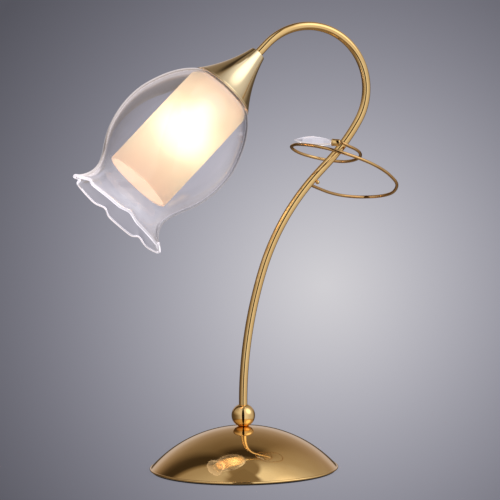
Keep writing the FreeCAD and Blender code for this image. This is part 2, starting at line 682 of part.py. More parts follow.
def arc_from(start, heading, end):
    """The arc that leaves a point in a given direction and ends at another point."""
    chord = end - start
    half = heading.getAngle(chord)
    bulge = heading - chord * (heading.dot(chord) / chord.dot(chord))
    if bulge.Length < 1e-6:
        return Part.makeLine(start, end)
    rise = chord.Length / 2 * math.tan(half / 2)
    return Part.Arc(start, start + chord * 0.5 + bulge.normalize() * rise, end).toShape()


def curl_centre_line():
    place, side = out_of_stem(CURL_START_ALONG, CURL_START_AROUND)
    points = [place + side * (stem_radius / 2)] + [Vector(*point) for point in CURL_ROUTE]
    points.append(curl_end())
    headings = [tangent_at(points[i - 1], points[i], points[i + 1]) for i in range(1, len(points) - 1)]
    leaf_heading = (Vector(*LEAF_TIP) - Vector(*LEAF_ROOT)).normalize()
    first = 2 * (points[1] - points[0]).normalize() - headings[0]
    headings = [first.normalize()] + headings + [leaf_heading]
    edges = []
    for i in range(len(points) - 1):
        edges += biarc(points[i], headings[i], points[i + 1], headings[i + 1])
    edges.append(Part.makeLine(points[-1], points[-1] + leaf_heading * (LEAF_CAP_SOCKET + LEAF_CAP_LEAD)))
    return Part.Wire(edges)


def curl_wire():
    """The curl, its first end shaped to the stem that it is brazed to."""
    stem = tube_along(stem_route().wire(), stem_radius)
    return tube_along(curl_centre_line(), CURL_WIRE_DIAMETER / 2).cut(stem)


def curl_pin():
    """Ball-headed pin beside the wire's joint, its shank in the wall of the stem."""
    place, side = out_of_stem(CURL_PIN_ALONG, CURL_PIN_AROUND)
    seat = place + side * (stem_radius + CURL_PIN_SEAT)
    shank = Part.makeCylinder(CURL_PIN_SHANK, seat.distanceToPoint(place) - (stem_radius - STEM_WALL),
                              place + side * (stem_radius - STEM_WALL), side)
    head = Part.makeSphere(CURL_PIN_RADIUS, seat).cut(tube_along(stem_route().wire(), stem_radius))
    return head.fuse(shank).removeSplitter()


def leaf_frame():
    """Placement whose Z axis runs from the leaf's root to its tip, with X up across the leaf."""
    along = (Vector(*LEAF_TIP) - Vector(*LEAF_ROOT)).normalize()
    flat = along.cross(UP).normalize()
    across = flat.cross(along)
    turn = FreeCAD.Rotation(across, along.cross(across), along, "ZXY")
    return FreeCAD.Placement(Vector(*LEAF_ROOT), turn)


def curl_end():
    """Where the curl's bends end and its straight run into the leaf's cap starts."""
    along = (Vector(*LEAF_TIP) - Vector(*LEAF_ROOT)).normalize()
    return Vector(*LEAF_ROOT) - along * (LEAF_CAP_LENGTH + LEAF_CAP_LEAD)


def leaf_section(station, width, thickness):
    """Pointed hexagon across the leaf: a ridge on each face and two thin edges."""
    ridge = width * LEAF_RIDGE_SHARE
    points = [(width, 0), (ridge, thickness), (-ridge, thickness),
              (-width, 0), (-ridge, -thickness), (ridge, -thickness), (width, 0)]
    return Part.makePolygon([Vector(x, y, station) for x, y in points])


def crystal_leaf():
    length = Vector(*LEAF_TIP).distanceToPoint(Vector(*LEAF_ROOT))
    half_width = LEAF_WIDTH / 2
    half_thickness = LEAF_THICKNESS / 2
    sections = [leaf_section(length * s, half_width * w, half_thickness * t) for s, w, t in LEAF_CUT_SHARES]
    body = Part.makeLoft(sections, True, True)
    root = disc(LEAF_CAP_RADIUS - LEAF_CAP_WALL - LEAF_FIT, -LEAF_CAP_GRIP, LEAF_CAP_GRIP)
    leaf = body.fuse(root).removeSplitter()
    leaf.Placement = leaf_frame().multiply(leaf.Placement)
    return leaf


def leaf_cap():
    """Ferrule that holds the root of the leaf on the end of the wire."""
    outside = LEAF_CAP_RADIUS
    grip = LEAF_CAP_RADIUS - LEAF_CAP_WALL
    socket = CURL_WIRE_DIAMETER / 2 + LEAF_FIT
    back = -LEAF_CAP_LENGTH
    section = Outline(socket, back).line(outside - LEAF_CAP_CHAMFER, back)
    section.line(outside, back + LEAF_CAP_CHAMFER)
    section.line(outside, 0).line(grip, 0).line(grip, -LEAF_CAP_GRIP).line(0, -LEAF_CAP_GRIP)
    section.line(0, back + LEAF_CAP_SOCKET).line(socket, back + LEAF_CAP_SOCKET)
    cap = section.turned()
    cap.Placement = leaf_frame().multiply(cap.Placement)
    return cap


# ---- head -------------------------------------------------------------------

def cone_side(outer, start, end):
    """The cone's flared side between two stations, or the same arc one wall further in."""
    inset = 0.0 if outer else CONE_WALL
    top = Vector(CONE_TOP_RADIUS, 0, CONE_LIP / 2)
    rim = Vector(CONE_RIM_RADIUS, 0, CONE_LENGTH)
    chord = rim - top
    inwards = Vector(-chord.z, 0, chord.x).normalize()
    middle = (top + rim) * 0.5 + inwards * CONE_FLARE
    circle = Part.Arc(top, middle, rim).toShape().Curve
    radius = circle.Radius + inset
    centre = circle.Center
    stations = (start, (start + end) / 2, end)
    return [(centre.x - math.sqrt(radius ** 2 - (s - centre.z) ** 2), s) for s in stations]


def cone_cup():
    outer = cone_side(True, CONE_LIP / 2, CONE_LENGTH)
    inner = cone_side(False, CONE_LENGTH, cone_boss)
    top = CONE_TOP_RADIUS
    edge = CONE_LIP / 2
    cup = Outline(stem_hole, 0).line(top - edge, 0)
    cup.arc((top - edge + edge * math.sqrt(0.5), edge - edge * math.sqrt(0.5)), outer[0])
    cup.arc(outer[1], outer[2]).line(*inner[0]).arc(inner[1], inner[2])
    cup.line(thread_bore, cone_boss).line(thread_bore, CONE_LIP).line(stem_hole, CONE_LIP)
    return on_head(cup.turned())


def arm_nipple():
    """Threaded pipe brazed on the end of the stem, which the cone and the lampholder screw on."""
    nipple = disc(THREAD_RADIUS, CONE_LIP, nipple_length, stem_radius - STEM_WALL)
    return on_head(nipple.cut(disc(stem_radius + THREAD_FIT, CONE_LIP, STEM_IN_NIPPLE)))


def cone_locknut():
    return on_head(hex_nut(LOCKNUT_FLATS, cone_boss, LOCKNUT_HEIGHT, thread_bore))


def holder_cap():
    """Upper half of the lampholder, screwed on the nipple."""
    spigot_room = HOLDER_CAP_RADIUS - HOLDER_WALL
    entry_end = HOLDER_TOP + HOLDER_ENTRY_LENGTH
    cap = Outline(thread_bore, HOLDER_TOP).line(HOLDER_ENTRY_RADIUS, HOLDER_TOP)
    cap.line(HOLDER_CAP_RADIUS, HOLDER_SHOULDER)
    cap.line(HOLDER_CAP_RADIUS, HOLDER_CAP_END).line(spigot_room, HOLDER_CAP_END)
    cap.line(spigot_room, HOLDER_SHOULDER + HOLDER_WALL / 2)
    cap.line(HOLDER_ENTRY_RADIUS - HOLDER_WALL / 2, entry_end)
    cap.line(thread_bore, entry_end)
    return on_rim(cap.turned())


def holder_skirt():
    """Lower half of the lampholder, threaded outside for the two shade rings."""
    spigot = HOLDER_CAP_RADIUS - HOLDER_WALL - HOLDER_FIT
    shell_room = SHELL_INNER_RADIUS + SHELL_WALL + HOLDER_FIT
    top = HOLDER_CAP_END - HOLDER_SPIGOT_LENGTH
    skirt = Outline(HOLDER_CHAMBER_RADIUS, top).line(spigot, top).line(spigot, HOLDER_CAP_END)
    skirt.line(HOLDER_SKIRT_RADIUS, HOLDER_CAP_END)
    skirt.line(HOLDER_SKIRT_RADIUS, HOLDER_SKIRT_END - HOLDER_CHAMFER)
    skirt.line(HOLDER_SKIRT_RADIUS - HOLDER_CHAMFER, HOLDER_SKIRT_END)
    skirt.line(shell_room, HOLDER_SKIRT_END).line(shell_room, HOLDER_STEP)
    skirt.line(HOLDER_CHAMBER_RADIUS, HOLDER_STEP)
    return on_rim(skirt.turned())


def holder_insert():
    end = HOLDER_STEP - SHELL_FLANGE_THICKNESS
    radius = HOLDER_CHAMBER_RADIUS - HOLDER_FIT
    insert = disc(radius, INSERT_TOP, end - INSERT_TOP, CONTACT_POST_RADIUS + HOLDER_FIT)
    return on_rim(insert.cut(disc(INSERT_WELL_RADIUS, end - INSERT_WELL_DEPTH, INSERT_WELL_DEPTH)))


def screw_shell():
    """Threaded metal shell of the lampholder, with the flange that it hangs by."""
    outer = SHELL_INNER_RADIUS + SHELL_WALL
    top = HOLDER_STEP - SHELL_FLANGE_THICKNESS
    shell = Outline(SHELL_INNER_RADIUS, top).line(SHELL_FLANGE_RADIUS, top)
    shell.line(SHELL_FLANGE_RADIUS, HOLDER_STEP)
    shell.line(outer, HOLDER_STEP).line(outer, HOLDER_STEP + SHELL_LENGTH)
    shell.line(SHELL_INNER_RADIUS, HOLDER_STEP + SHELL_LENGTH)
    return on_rim(shell.turned())


def centre_contact():
    """Spring plate under the bulb's tip, on a post through the insert."""
    plate_bottom = BULB_TIP_END - HOLDER_FIT
    plate = disc(CONTACT_RADIUS, plate_bottom - CONTACT_THICKNESS, CONTACT_THICKNESS)
    post_top = INSERT_TOP - CONTACT_POST_OUT
    post = disc(CONTACT_POST_RADIUS, post_top, plate_bottom - post_top)
    return on_rim(plate.fuse(post).removeSplitter())


def holder_terminals():
    """Two brass blocks on the insert, in the plane of the stem."""
    blocks = []
    for side in (-1, 1):
        corner = Vector(side * TERMINAL_OFFSET - TERMINAL_SIZE / 2, -TERMINAL_SIZE / 2, TERMINAL_TOP)
        block = Part.makeBox(TERMINAL_SIZE, TERMINAL_SIZE, INSERT_TOP - TERMINAL_TOP, corner)
        seat = Vector(side * TERMINAL_OFFSET, 0, (TERMINAL_TOP + INSERT_TOP) / 2)
        reach = TERMINAL_SIZE / 2 + TERMINAL_SCREW_OUT
        screw = Part.makeCylinder(TERMINAL_SCREW_RADIUS, reach, seat, ALONG_Y)
        blocks.append(block.fuse(screw).removeSplitter())
    return on_rim(Part.makeCompound(blocks))


def fluted_ring(radius, top, thickness):
    """A threaded shade ring with finger flutes round its edge."""
    ring = disc(radius, top, thickness, holder_bore)
    flute = disc(RING_FLUTE_RADIUS, top, thickness)
    step = 360.0 / RING_FLUTE_COUNT
    circle = radius + RING_FLUTE_RADIUS / 3
    return ring.cut([flute.translated(on_circle(circle, step * i)) for i in range(RING_FLUTE_COUNT)])


def upper_shade_ring():
    return on_rim(fluted_ring(UPPER_RING_RADIUS, UPPER_RING_TOP, UPPER_RING_THICKNESS))


def lower_shade_ring():
    return on_rim(fluted_ring(LOWER_RING_RADIUS, lower_ring_top, LOWER_RING_THICKNESS))


def glass_gaskets():
    upper = disc(GASKET_RADIUS, gasket_one_top, GASKET_THICKNESS, holder_bore)
    lower = disc(GASKET_RADIUS, gasket_two_top, GASKET_THICKNESS, holder_bore)
    return on_rim(Part.makeCompound([upper, lower]))


# ---- tulip glass ------------------------------------------------------------

def notch_depth(degrees):
    """0 at the middle of a petal and 1 at the notch between two petals."""
    notches = (TULIP_NOTCHES[-1] - 360.0,) + TULIP_NOTCHES + (TULIP_NOTCHES[0] + 360.0,)
    for before, after in zip(notches, notches[1:]):
        if before <= degrees < after:
            phase = 2 * math.pi * (degrees - before) / (after - before)
            return ((1 + math.cos(phase)) / 2) ** TULIP_NOTCH_SHARPNESS


def tulip_ring(radius, station, depth):
    """Closed curve round the glass; depth is the share of the petals' notches it takes."""
    points = []
    for i in range(TULIP_RING_POINTS):
        degrees = 360.0 * i / TULIP_RING_POINTS
        notch = depth * notch_depth(degrees)
        point = on_circle(radius - TULIP_NOTCH_IN * notch, degrees, station)
        slant = point.y * tulip_short_back - point.x * tulip_short_below
        points.append(point - Vector(tulip_droop(station), 0, TULIP_NOTCH_BACK * notch + depth * slant))
    curve = Part.BSplineCurve()
    curve.interpolate(points, PeriodicFlag=True)
    return Part.Wire(curve.toShape())


def tulip_droop(station):
    """Distance of a ring's centre below the head axis."""
    share = max(0.0, (station - tulip_droop_start) / (TULIP_MOUTH - tulip_droop_start))
    return TULIP_DROOP * share ** TULIP_DROOP_POWER


def tulip_lip_share(station):
    """Share of the notches at a station: none at the neck and all at the mouth."""
    return max(0.0, (station - tulip_neck) / (TULIP_MOUTH - tulip_neck)) ** TULIP_LIP_POWER


def tulip_rows():
    """Stations of the outer profile, each with the matching point on the inner face."""
    shares = TULIP_SHOULDER_SHARES + TULIP_BELLY_SHARES + TULIP_NECK_SHARES + TULIP_LIP_SHARES
    stations = [(TULIP_FLAT_RADIUS, tulip_top)]
    stations += [(TULIP_RADIUS * r, tulip_top + tulip_length * s) for r, s in shares]
    profile = Part.BSplineCurve()
    profile.interpolate([Vector(r, 0, s) for r, s in stations], InitialTangent=Vector(1, 0, 0),
                        FinalTangent=Vector(1, 0, 0.8))
    rows = []
    for r, s in stations:
        heading = Vector(*profile.tangent(profile.parameter(Vector(r, 0, s)))[0])
        rows.append((r, s, r - heading.z * TULIP_WALL, s + heading.x * TULIP_WALL))
    return rows


def tulip_shade():
    """Blown glass with a flat, holed top and six petals at its mouth."""
    rows = tulip_rows()
    outer_rings = [tulip_ring(r, s, tulip_lip_share(s)) for r, s, _, _ in rows]
    inner_rings = [tulip_ring(r, s, tulip_lip_share(outer_s)) for _, outer_s, r, s in rows]
    hole_outer = Part.Wire(Part.makeCircle(GLASS_HOLE_RADIUS, Vector(0, 0, tulip_top)))
    hole_inner = Part.Wire(Part.makeCircle(GLASS_HOLE_RADIUS, Vector(0, 0, tulip_top + TULIP_WALL)))
    faces = Part.makeLoft(outer_rings, False, False).Faces + Part.makeLoft(inner_rings, False, False).Faces
    for hole, ring in ((hole_outer, outer_rings[0]), (hole_inner, inner_rings[0])):
        faces += Part.makeFace([ring, hole], "Part::FaceMakerBullseye").Faces
    for first, second in ((hole_outer, hole_inner), (outer_rings[-1], inner_rings[-1])):
        faces += Part.makeLoft([first, second], False, True).Faces
    shell = Part.makeShell(faces)
    shell.sewShape()
    glass = Part.makeSolid(shell)
    return on_rim(glass if glass.Volume > 0 else glass.reversed())


def frosted_cylinder():
    """Open-ended cylinder with a flat, holed top and a rounded shoulder."""
    outer = FROST_RADIUS
    inner = FROST_RADIUS - FROST_WALL
    bend = FROST_SHOULDER
    inner_bend = bend - FROST_WALL
    diagonal = math.sqrt(0.5)
    under = frost_top + FROST_TOP_THICKNESS
    glass = Outline(GLASS_HOLE_RADIUS, frost_top).line(outer - bend, frost_top)
    middle = (outer - bend + bend * diagonal, frost_top + bend - bend * diagonal)
    glass.arc(middle, (outer, frost_top + bend))
    glass.line(outer, FROST_END).line(inner, FROST_END).line(inner, under + inner_bend)
    glass.arc((inner - inner_bend + inner_bend * diagonal, under + inner_bend - inner_bend * diagonal),
              (inner - inner_bend, under))
    glass.line(GLASS_HOLE_RADIUS, under)
    return on_rim(glass.turned())


# ---- bulb -------------------------------------------------------------------

def bulb_glass():
    outer_radius = BULB_DIAMETER / 2
    inner_radius = outer_radius - BULB_WALL
    neck_inner = BULB_NECK_RADIUS - BULB_WALL
    top = BULB_CENTRE + outer_radius
    turn = math.radians(BULB_JOIN_ANGLE)
    out_join = (outer_radius * math.cos(turn), BULB_CENTRE - outer_radius * math.sin(turn))
    in_join = (inner_radius * math.cos(turn), BULB_CENTRE - inner_radius * math.sin(turn))
    neck_station = BULB_CAP_END + BULB_NECK_OUT
    glass = Outline(0, top).arc((outer_radius, BULB_CENTRE), out_join)
    glass.line(BULB_NECK_RADIUS, neck_station)
    glass.line(BULB_NECK_RADIUS, BULB_NECK_END).line(neck_inner, BULB_NECK_END)
    glass.line(neck_inner, neck_station).line(*in_join)
    glass.arc((inner_radius, BULB_CENTRE), (0, top - BULB_WALL))
    return on_rim(glass.turned())


def bulb_cap():
    """Metal screw cap with its round thread, drawn as one ridge for each turn."""
    inner = BULB_CAP_ROOT - BULB_CAP_WALL
    cap = Outline(inner, BULB_CAP_TOP).line(BULB_CAP_ROOT, BULB_CAP_TOP)
    station = BULB_CAP_TOP + BULB_CAP_SEAM
    cap.line(BULB_CAP_ROOT, station)
    for turn in range(BULB_THREAD_TURNS):
        crest = station + BULB_THREAD_PITCH / 2
        station += BULB_THREAD_PITCH
        cap.arc((BULB_CAP_RADIUS, crest), (BULB_CAP_ROOT, station))
    cap.line(BULB_CAP_RADIUS, station + BULB_THREAD_PITCH / 2).line(BULB_CAP_RADIUS, BULB_CAP_END)
    cap.line(inner, BULB_CAP_END)
    return on_rim(cap.turned())


def bulb_insulator():
    top = BULB_TIP_END + BULB_TIP_HEIGHT
    rim = BULB_CAP_ROOT - BULB_CAP_WALL - BULB_INSULATOR_FIT
    end = BULB_CAP_TOP + BULB_INSULATOR_IN
    glass = Outline(0, top).line(BULB_TIP_RADIUS, top).line(BULB_INSULATOR_RADIUS, BULB_CAP_TOP)
    glass.line(rim, BULB_CAP_TOP + BULB_CAP_SEAM).line(rim, end).line(0, end)
    return on_rim(glass.turned())


def bulb_tip():
    ball = (BULB_TIP_RADIUS ** 2 + BULB_TIP_HEIGHT ** 2) / (2 * BULB_TIP_HEIGHT)
    end = BULB_TIP_END + BULB_TIP_HEIGHT
    solder = Part.makeSphere(ball, Vector(0, 0, BULB_TIP_END + ball))
    return on_rim(solder.common(disc(BULB_TIP_RADIUS * 2, BULB_TIP_END, end - BULB_TIP_END)))


def bulb_mount():
    """Glass post inside the bulb, standing on the flare that closes its neck."""
    flare_radius = BULB_NECK_RADIUS - BULB_WALL - BULB_MOUNT_FIT
    end = BULB_NECK_END + BULB_MOUNT_LENGTH
    post = Outline(0, BULB_NECK_END).line(flare_radius, BULB_NECK_END)
    post.line(BULB_MOUNT_RADIUS, BULB_NECK_END + BULB_MOUNT_FLARE)
    post.line(BULB_MOUNT_RADIUS, end).line(0, end)
    return on_rim(post.turned())


def bulb_leads():
    """Two lead wires from the post out to the ends of the filament."""
    leads = []
    base = BULB_NECK_END + BULB_MOUNT_LENGTH
    for side in (-1, 1):
        start = Vector(side * BULB_MOUNT_RADIUS / 2, 0, base)
        end = Vector(side * BULB_LEAD_SPREAD, 0, BULB_CENTRE)
        lead = Part.makeCylinder(BULB_LEAD_RADIUS, start.distanceToPoint(end), start, end - start)
        leads.append(lead.cut(disc(BULB_MOUNT_RADIUS, BULB_NECK_END, BULB_MOUNT_LENGTH)))
    return on_rim(Part.makeCompound(leads))


def bulb_filament():
    """Coiled filament, drawn as the bar that the fine coil fills."""
    reach = BULB_LEAD_SPREAD + BULB_LEAD_RADIUS
    height = BULB_CENTRE + 2 * FILAMENT_RADIUS
    middle = Vector(0, 0, height + FILAMENT_RISE)
    arc = Part.Arc(Vector(-reach, 0, height), middle, Vector(reach, 0, height)).toShape()
    return on_rim(tube_along(Part.Wire(arc), FILAMENT_RADIUS))


SUBPARTS = {
    "base_dome": base_dome,
    "base_weight": base_weight,
    "bottom_plate": bottom_plate,
    "foot_pad": foot_pad,
    "plate_screws": plate_screws,
    "base_ball": base_ball,
    "stem_nut": stem_nut,
    "stem_washer": stem_washer,
    "cord_bushing": cord_bushing,
    "bushing_nut": bushing_nut,
    "terminal_block": terminal_block,
    "terminal_tubes": terminal_tubes,
    "wire_live": lambda: supply_wire(1),
    "wire_neutral": lambda: supply_wire(-1),
    "stem_tube": stem_tube,
    "curl_wire": curl_wire,
    "curl_pin": curl_pin,
    "leaf_cap": leaf_cap,
    "crystal_leaf": crystal_leaf,
    "cone_cup": cone_cup,
    "arm_nipple": arm_nipple,
    "cone_locknut": cone_locknut,
    "holder_cap": holder_cap,
    "holder_skirt": holder_skirt,
    "holder_insert": holder_insert,
    "screw_shell": screw_shell,
    "centre_contact": centre_contact,
    "holder_terminals": holder_terminals,
    "upper_shade_ring": upper_shade_ring,
    "glass_gaskets": glass_gaskets,
    "tulip_shade": tulip_shade,
    "frosted_cylinder": frosted_cylinder,
    "lower_shade_ring": lower_shade_ring,
    "bulb_glass": bulb_glass,
    "bulb_cap": bulb_cap,
    "bulb_insulator": bulb_insulator,
    "bulb_tip": bulb_tip,
    "bulb_mount": bulb_mount,
    "bulb_leads": bulb_leads,
    "bulb_filament": bulb_filament,
}

os.makedirs("parts", exist_ok=True)
for part_name, make in SUBPARTS.items():
    save(part_name, make())
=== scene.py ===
import json
import math

import bmesh
import bpy
from bpy.props import FloatProperty, FloatVectorProperty, IntProperty, PointerProperty
from mathutils import Matrix, Quaternion, Vector


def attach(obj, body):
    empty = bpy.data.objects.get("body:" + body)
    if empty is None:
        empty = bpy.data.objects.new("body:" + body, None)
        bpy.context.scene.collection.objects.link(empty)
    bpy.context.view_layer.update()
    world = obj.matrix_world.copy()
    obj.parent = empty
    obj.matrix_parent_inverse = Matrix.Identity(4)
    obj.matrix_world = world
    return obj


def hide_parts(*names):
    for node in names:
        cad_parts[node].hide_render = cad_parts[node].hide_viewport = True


bl_info = {
    "name": "Tulip Shade Table Lamp",
    "version": (1, 0, 0),
    "blender": (4, 5, 0),
    "location": "View3D > Sidebar > Lamp",
    "description": "Polished brass table lamp with a curled stem, a tulip glass and a crystal leaf",
    "category": "Add Mesh",
}

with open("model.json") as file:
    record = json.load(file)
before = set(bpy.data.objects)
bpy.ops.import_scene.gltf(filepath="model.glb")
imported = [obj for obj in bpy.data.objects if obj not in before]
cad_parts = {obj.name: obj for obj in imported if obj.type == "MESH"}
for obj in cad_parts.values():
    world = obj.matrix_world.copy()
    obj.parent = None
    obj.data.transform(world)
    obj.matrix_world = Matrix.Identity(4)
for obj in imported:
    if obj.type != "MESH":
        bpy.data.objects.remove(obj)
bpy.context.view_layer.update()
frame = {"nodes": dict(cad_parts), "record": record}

# Sizes below are in millimetres, as a maker would read them; MM turns them into metres.
MM = 0.001
FACET = 0.025 * MM             # keeps round bars inside the frame's faceted solids
UP = Vector((0.0, 0.0, 1.0))

# Stem: (bend radius, degrees) or (0, length) for a straight run, from the foot up.
STEM_FOOT = 8.0
STEM_RUNS = (
    (0.0, 46.0), (360.0, 18.8), (200.0, 27.2), (0.0, 15.0), (176.0, -14.0), (53.5, -166.0),
    (0.0, 10.4), (0.0, 12.0),
)
STEM_IN_CONE = 12.0
STEM_HOLE = 3.7                # radius of the holes that the stem passes
STEM_RADIUS = 3.6

# Base.
BASE_RADIUS = 80.0
DOME_TOP = 38.0
DOME_RIM_HEIGHT = 2.4
DOME_RIM_RADIUS = 79.4
RIM_BEAD_RADIUS = 0.9
BALL_FOOT = 4.275              # radius at which the ball's underside is cut flat
BALL_CENTRE = 47.0
BUSHING_HEIGHT = 11.0
BUSHING_HOLE = 4.6
BUSHING_PLACE = 70.0           # middle of the hole's cutter, towards the back

# Curl of wire and its leaf.
CURL_ROUTE = (
    (74.2, 5.3, 236.2), (86.3, 12.5, 232.1), (102.9, 19.2, 228.3), (121.7, 19.6, 226.6),
    (134.9, 8.8, 228.2), (138.0, -4.7, 232.2), (136.4, -15.8, 238.4), (125.0, -27.6, 248.0),
    (107.7, -36.0, 257.6), (90.9, -39.4, 264.5), (75.7, -36.9, 269.9), (62.7, -28.8, 273.7),
    (52.8, -12.8, 275.5), (49.4, 0.7, 274.9), (50.1, 9.5, 272.8), (58.3, 18.7, 268.1),
    (73.5, 25.9, 263.0), (87.4, 26.0, 259.7), (101.4, 17.0, 258.0), (106.4, 4.5, 260.1),
    (106.1, -8.2, 264.0), (98.6, -19.8, 269.5), (89.1, -25.3, 273.5),
)
CURL_START_ALONG = -18.4
PIN_ALONG = -12.7
PIN_AROUND = 21.0
PIN_SEAT = 1.36
PIN_RADIUS = 1.7
PIN_SHANK = 0.8
PIN_DEPTH = 0.9
LEAF_ROOT = Vector((75.0, -20.6, 277.2))
LEAF_TIP = Vector((48.3, -2.1, 279.2))
LEAF_CAP_LENGTH = 7.4
LEAF_CAP_LEAD = 0.6
LEAF_CUTS = (                  # share of the length, of the width and of the thickness
    (0.0, 0.42, 0.78), (0.22, 0.78, 0.95), (0.5, 1.0, 1.0), (0.78, 0.66, 0.8), (1.0, 0.06, 0.1),
)
LEAF_RIDGE = 0.45              # share of the width between the two ridges of a face
LEAF_GRIP = 2.4                # depth of the leaf's root in its ferrule
LEAF_BEVEL = 0.12

# Cone: stations down the head axis from its top.
CONE_LENGTH = 45.2
CONE_TOP_RADIUS = 6.9
CONE_RIM_RADIUS = 29.0
CONE_FLARE = 2.5
CONE_BOSS = 9.0
CONE_CROWN = 0.75
CONE_WALL = 1.0
CONE_LIP = 1.5
CONE_THREAD = 5.05

# Glass and bulb: stations down the head axis from the cone's rim.
GLASS_HOLE = 14.4
TULIP_TOP = -1.8
TULIP_MOUTH = 136.6
TULIP_OUTLINE = (
    (21.0, -1.8), (24.6, -1.2), (28.6, 0.8), (35.0, 6.6), (41.2, 15.0), (49.2, 32.0), (53.1, 45.8),
    (54.2, 57.8), (53.0, 72.8), (49.0, 87.8), (43.2, 100.3), (38.8, 109.3), (36.9, 116.8),
    (37.7, 123.3), (40.4, 128.8), (44.4, 133.4), (48.7, 136.6),
)
TULIP_NECK = 116.8
TULIP_NOTCHES = (33.0, 92.0, 143.0, 215.0, 277.0, 339.0)
TULIP_DROOP = 5.6
TULIP_DROOP_START = 94.8
TULIP_OUT_OF_SQUARE = 1.8
FROST_RADIUS = 29.8
FROST_TOP = 1.1
FROST_END = 105.5
FROST_SHOULDER = 7.0
FROST_TOP_THICKNESS = 2.5
BULB_CENTRE = 49.3
BULB_RADIUS = 22.5
BULB_WALL = 0.8
BULB_JOIN = -50.0              # angle at which the ball runs out into the neck
BULB_NECK = 6.2
BULB_NECK_END = 16.8

# The camera stands where the photograph was taken from.
CAMERA_PLACE = Vector((-0.8751, -2.3617, 0.4194))
CAMERA_TURN = -20.5
CAMERA_RISE = 5.26
CAMERA_ROLL = 0.7
CAMERA_LENS = 216.0

# The studio's light.  Angles are in degrees: a turn is from the camera, plus to its right, and a
# rise is from the horizon.  Each is followed by a tone or a share there.
# The pool of light painted on the floor.
POOL_MIDDLE = (0.63, 0.62, 0.65)
POOL_EDGE = (0.61, 0.61, 0.77)   # the cooler tone that the pool drifts to as it dims
POOL_WIDTH = 0.086               # tangent of the angle from its middle at which it has faded
POOL_POWER = 1.3
POOL_LEAST = 0.15                # share of light left on the rest of the floor
SIDES = (
    (-180.0, 0.20), (-150.0, 0.17), (-138.0, 0.05), (-124.0, 0.05), (-115.0, 0.40), (-100.0, 0.46),
    (-70.0, 0.62), (-45.0, 0.80), (-16.0, 0.85), (-13.0, 0.01), (10.0, 0.01), (13.0, 0.95),
    (45.0, 1.00), (85.0, 0.95), (105.0, 0.74), (125.0, 0.48), (145.0, 0.36), (158.0, 0.22),
    (180.0, 0.20),
)
LOW_SIDES = (
    (-180.0, 0.09), (-120.0, 0.09), (-90.0, 0.14), (-62.0, 0.28), (-35.0, 0.58), (-16.0, 0.85),
    (-13.0, 0.01), (10.0, 0.01), (13.0, 0.95), (40.0, 0.86), (60.0, 0.72), (105.0, 0.58),
    (125.0, 0.34), (140.0, 0.11), (180.0, 0.09),
)
LIFT = ((2.0, 0.0), (26.0, 1.0))
CEILING = ((-45.0, 0.0), (-30.0, 1.0), (77.0, 1.0), (80.0, 0.0))
FRONT = ((-75.0, 0.0), (-45.0, 1.0), (45.0, 1.0), (56.0, 0.0))
FRONT_TOP = ((66.0, 0.0), (74.0, 1.0))
BEHIND = ((-158.0, 1.0), (-132.0, 0.0), (132.0, 0.0), (158.0, 1.0))
BACKDROP = ((2.5, 0.0), (5.5, 1.0), (13.0, 0.95), (22.0, 0.55), (32.0, 0.28), (45.0, 0.10),
            (56.0, 0.0))
DARK_CORNER = ((56.0, 0.0), (66.0, 0.85), (74.0, 0.85), (79.0, 0.0))
HOT_SPOT = (68.0, 38.0)
WARMTH = ((0.0, (1.0, 0.72, 0.44)), (0.25, (1.0, 0.80, 0.56)), (0.55, (1.0, 0.95, 0.88)),
          (0.9, (1.0, 0.985, 0.95)))


# ---- what a user can change -------------------------------------------------

class LampSizes(bpy.types.PropertyGroup):
    stem_diameter: FloatProperty(
        name="Stem diameter", description="Outside of the stem's tube",
        default=0.0072, unit="LENGTH")
    stem_wall: FloatProperty(
        name="Stem wall", description="Wall of the stem's tube", default=0.0008, unit="LENGTH")
    curl_diameter: FloatProperty(
        name="Curl wire", description="Diameter of the curled wire", default=0.0027, unit="LENGTH")
    ball_diameter: FloatProperty(
        name="Ball", description="Diameter of the ball on the base", default=0.020, unit="LENGTH")
    dome_wall: FloatProperty(
        name="Dome wall", description="Sheet thickness of the base", default=0.0012, unit="LENGTH")
    leaf_width: FloatProperty(
        name="Leaf width", description="Width of the crystal leaf", default=0.0086, unit="LENGTH")
    leaf_thickness: FloatProperty(
        name="Leaf thickness", description="Thickness of the crystal leaf",
        default=0.005, unit="LENGTH")
    tulip_wall: FloatProperty(
        name="Tulip wall", description="Thickness of the blown glass", default=0.002, unit="LENGTH")
    tulip_bead: FloatProperty(
        name="Tulip bead", description="Radius of the fire-polished edge",
        default=0.0012, unit="LENGTH")
    notch_in: FloatProperty(
        name="Notch in", description="How far a notch between petals is drawn in",
        default=0.0028, unit="LENGTH")
    notch_back: FloatProperty(
        name="Notch back", description="How far a notch between petals is drawn back",
        default=0.0028, unit="LENGTH")
    frosted_wall: FloatProperty(
        name="Frosted wall", description="Wall of the frosted cylinder",
        default=0.002, unit="LENGTH")
    steps: IntProperty(
        name="Steps", description="Steps round a turned piece", default=192, min=24, max=512)


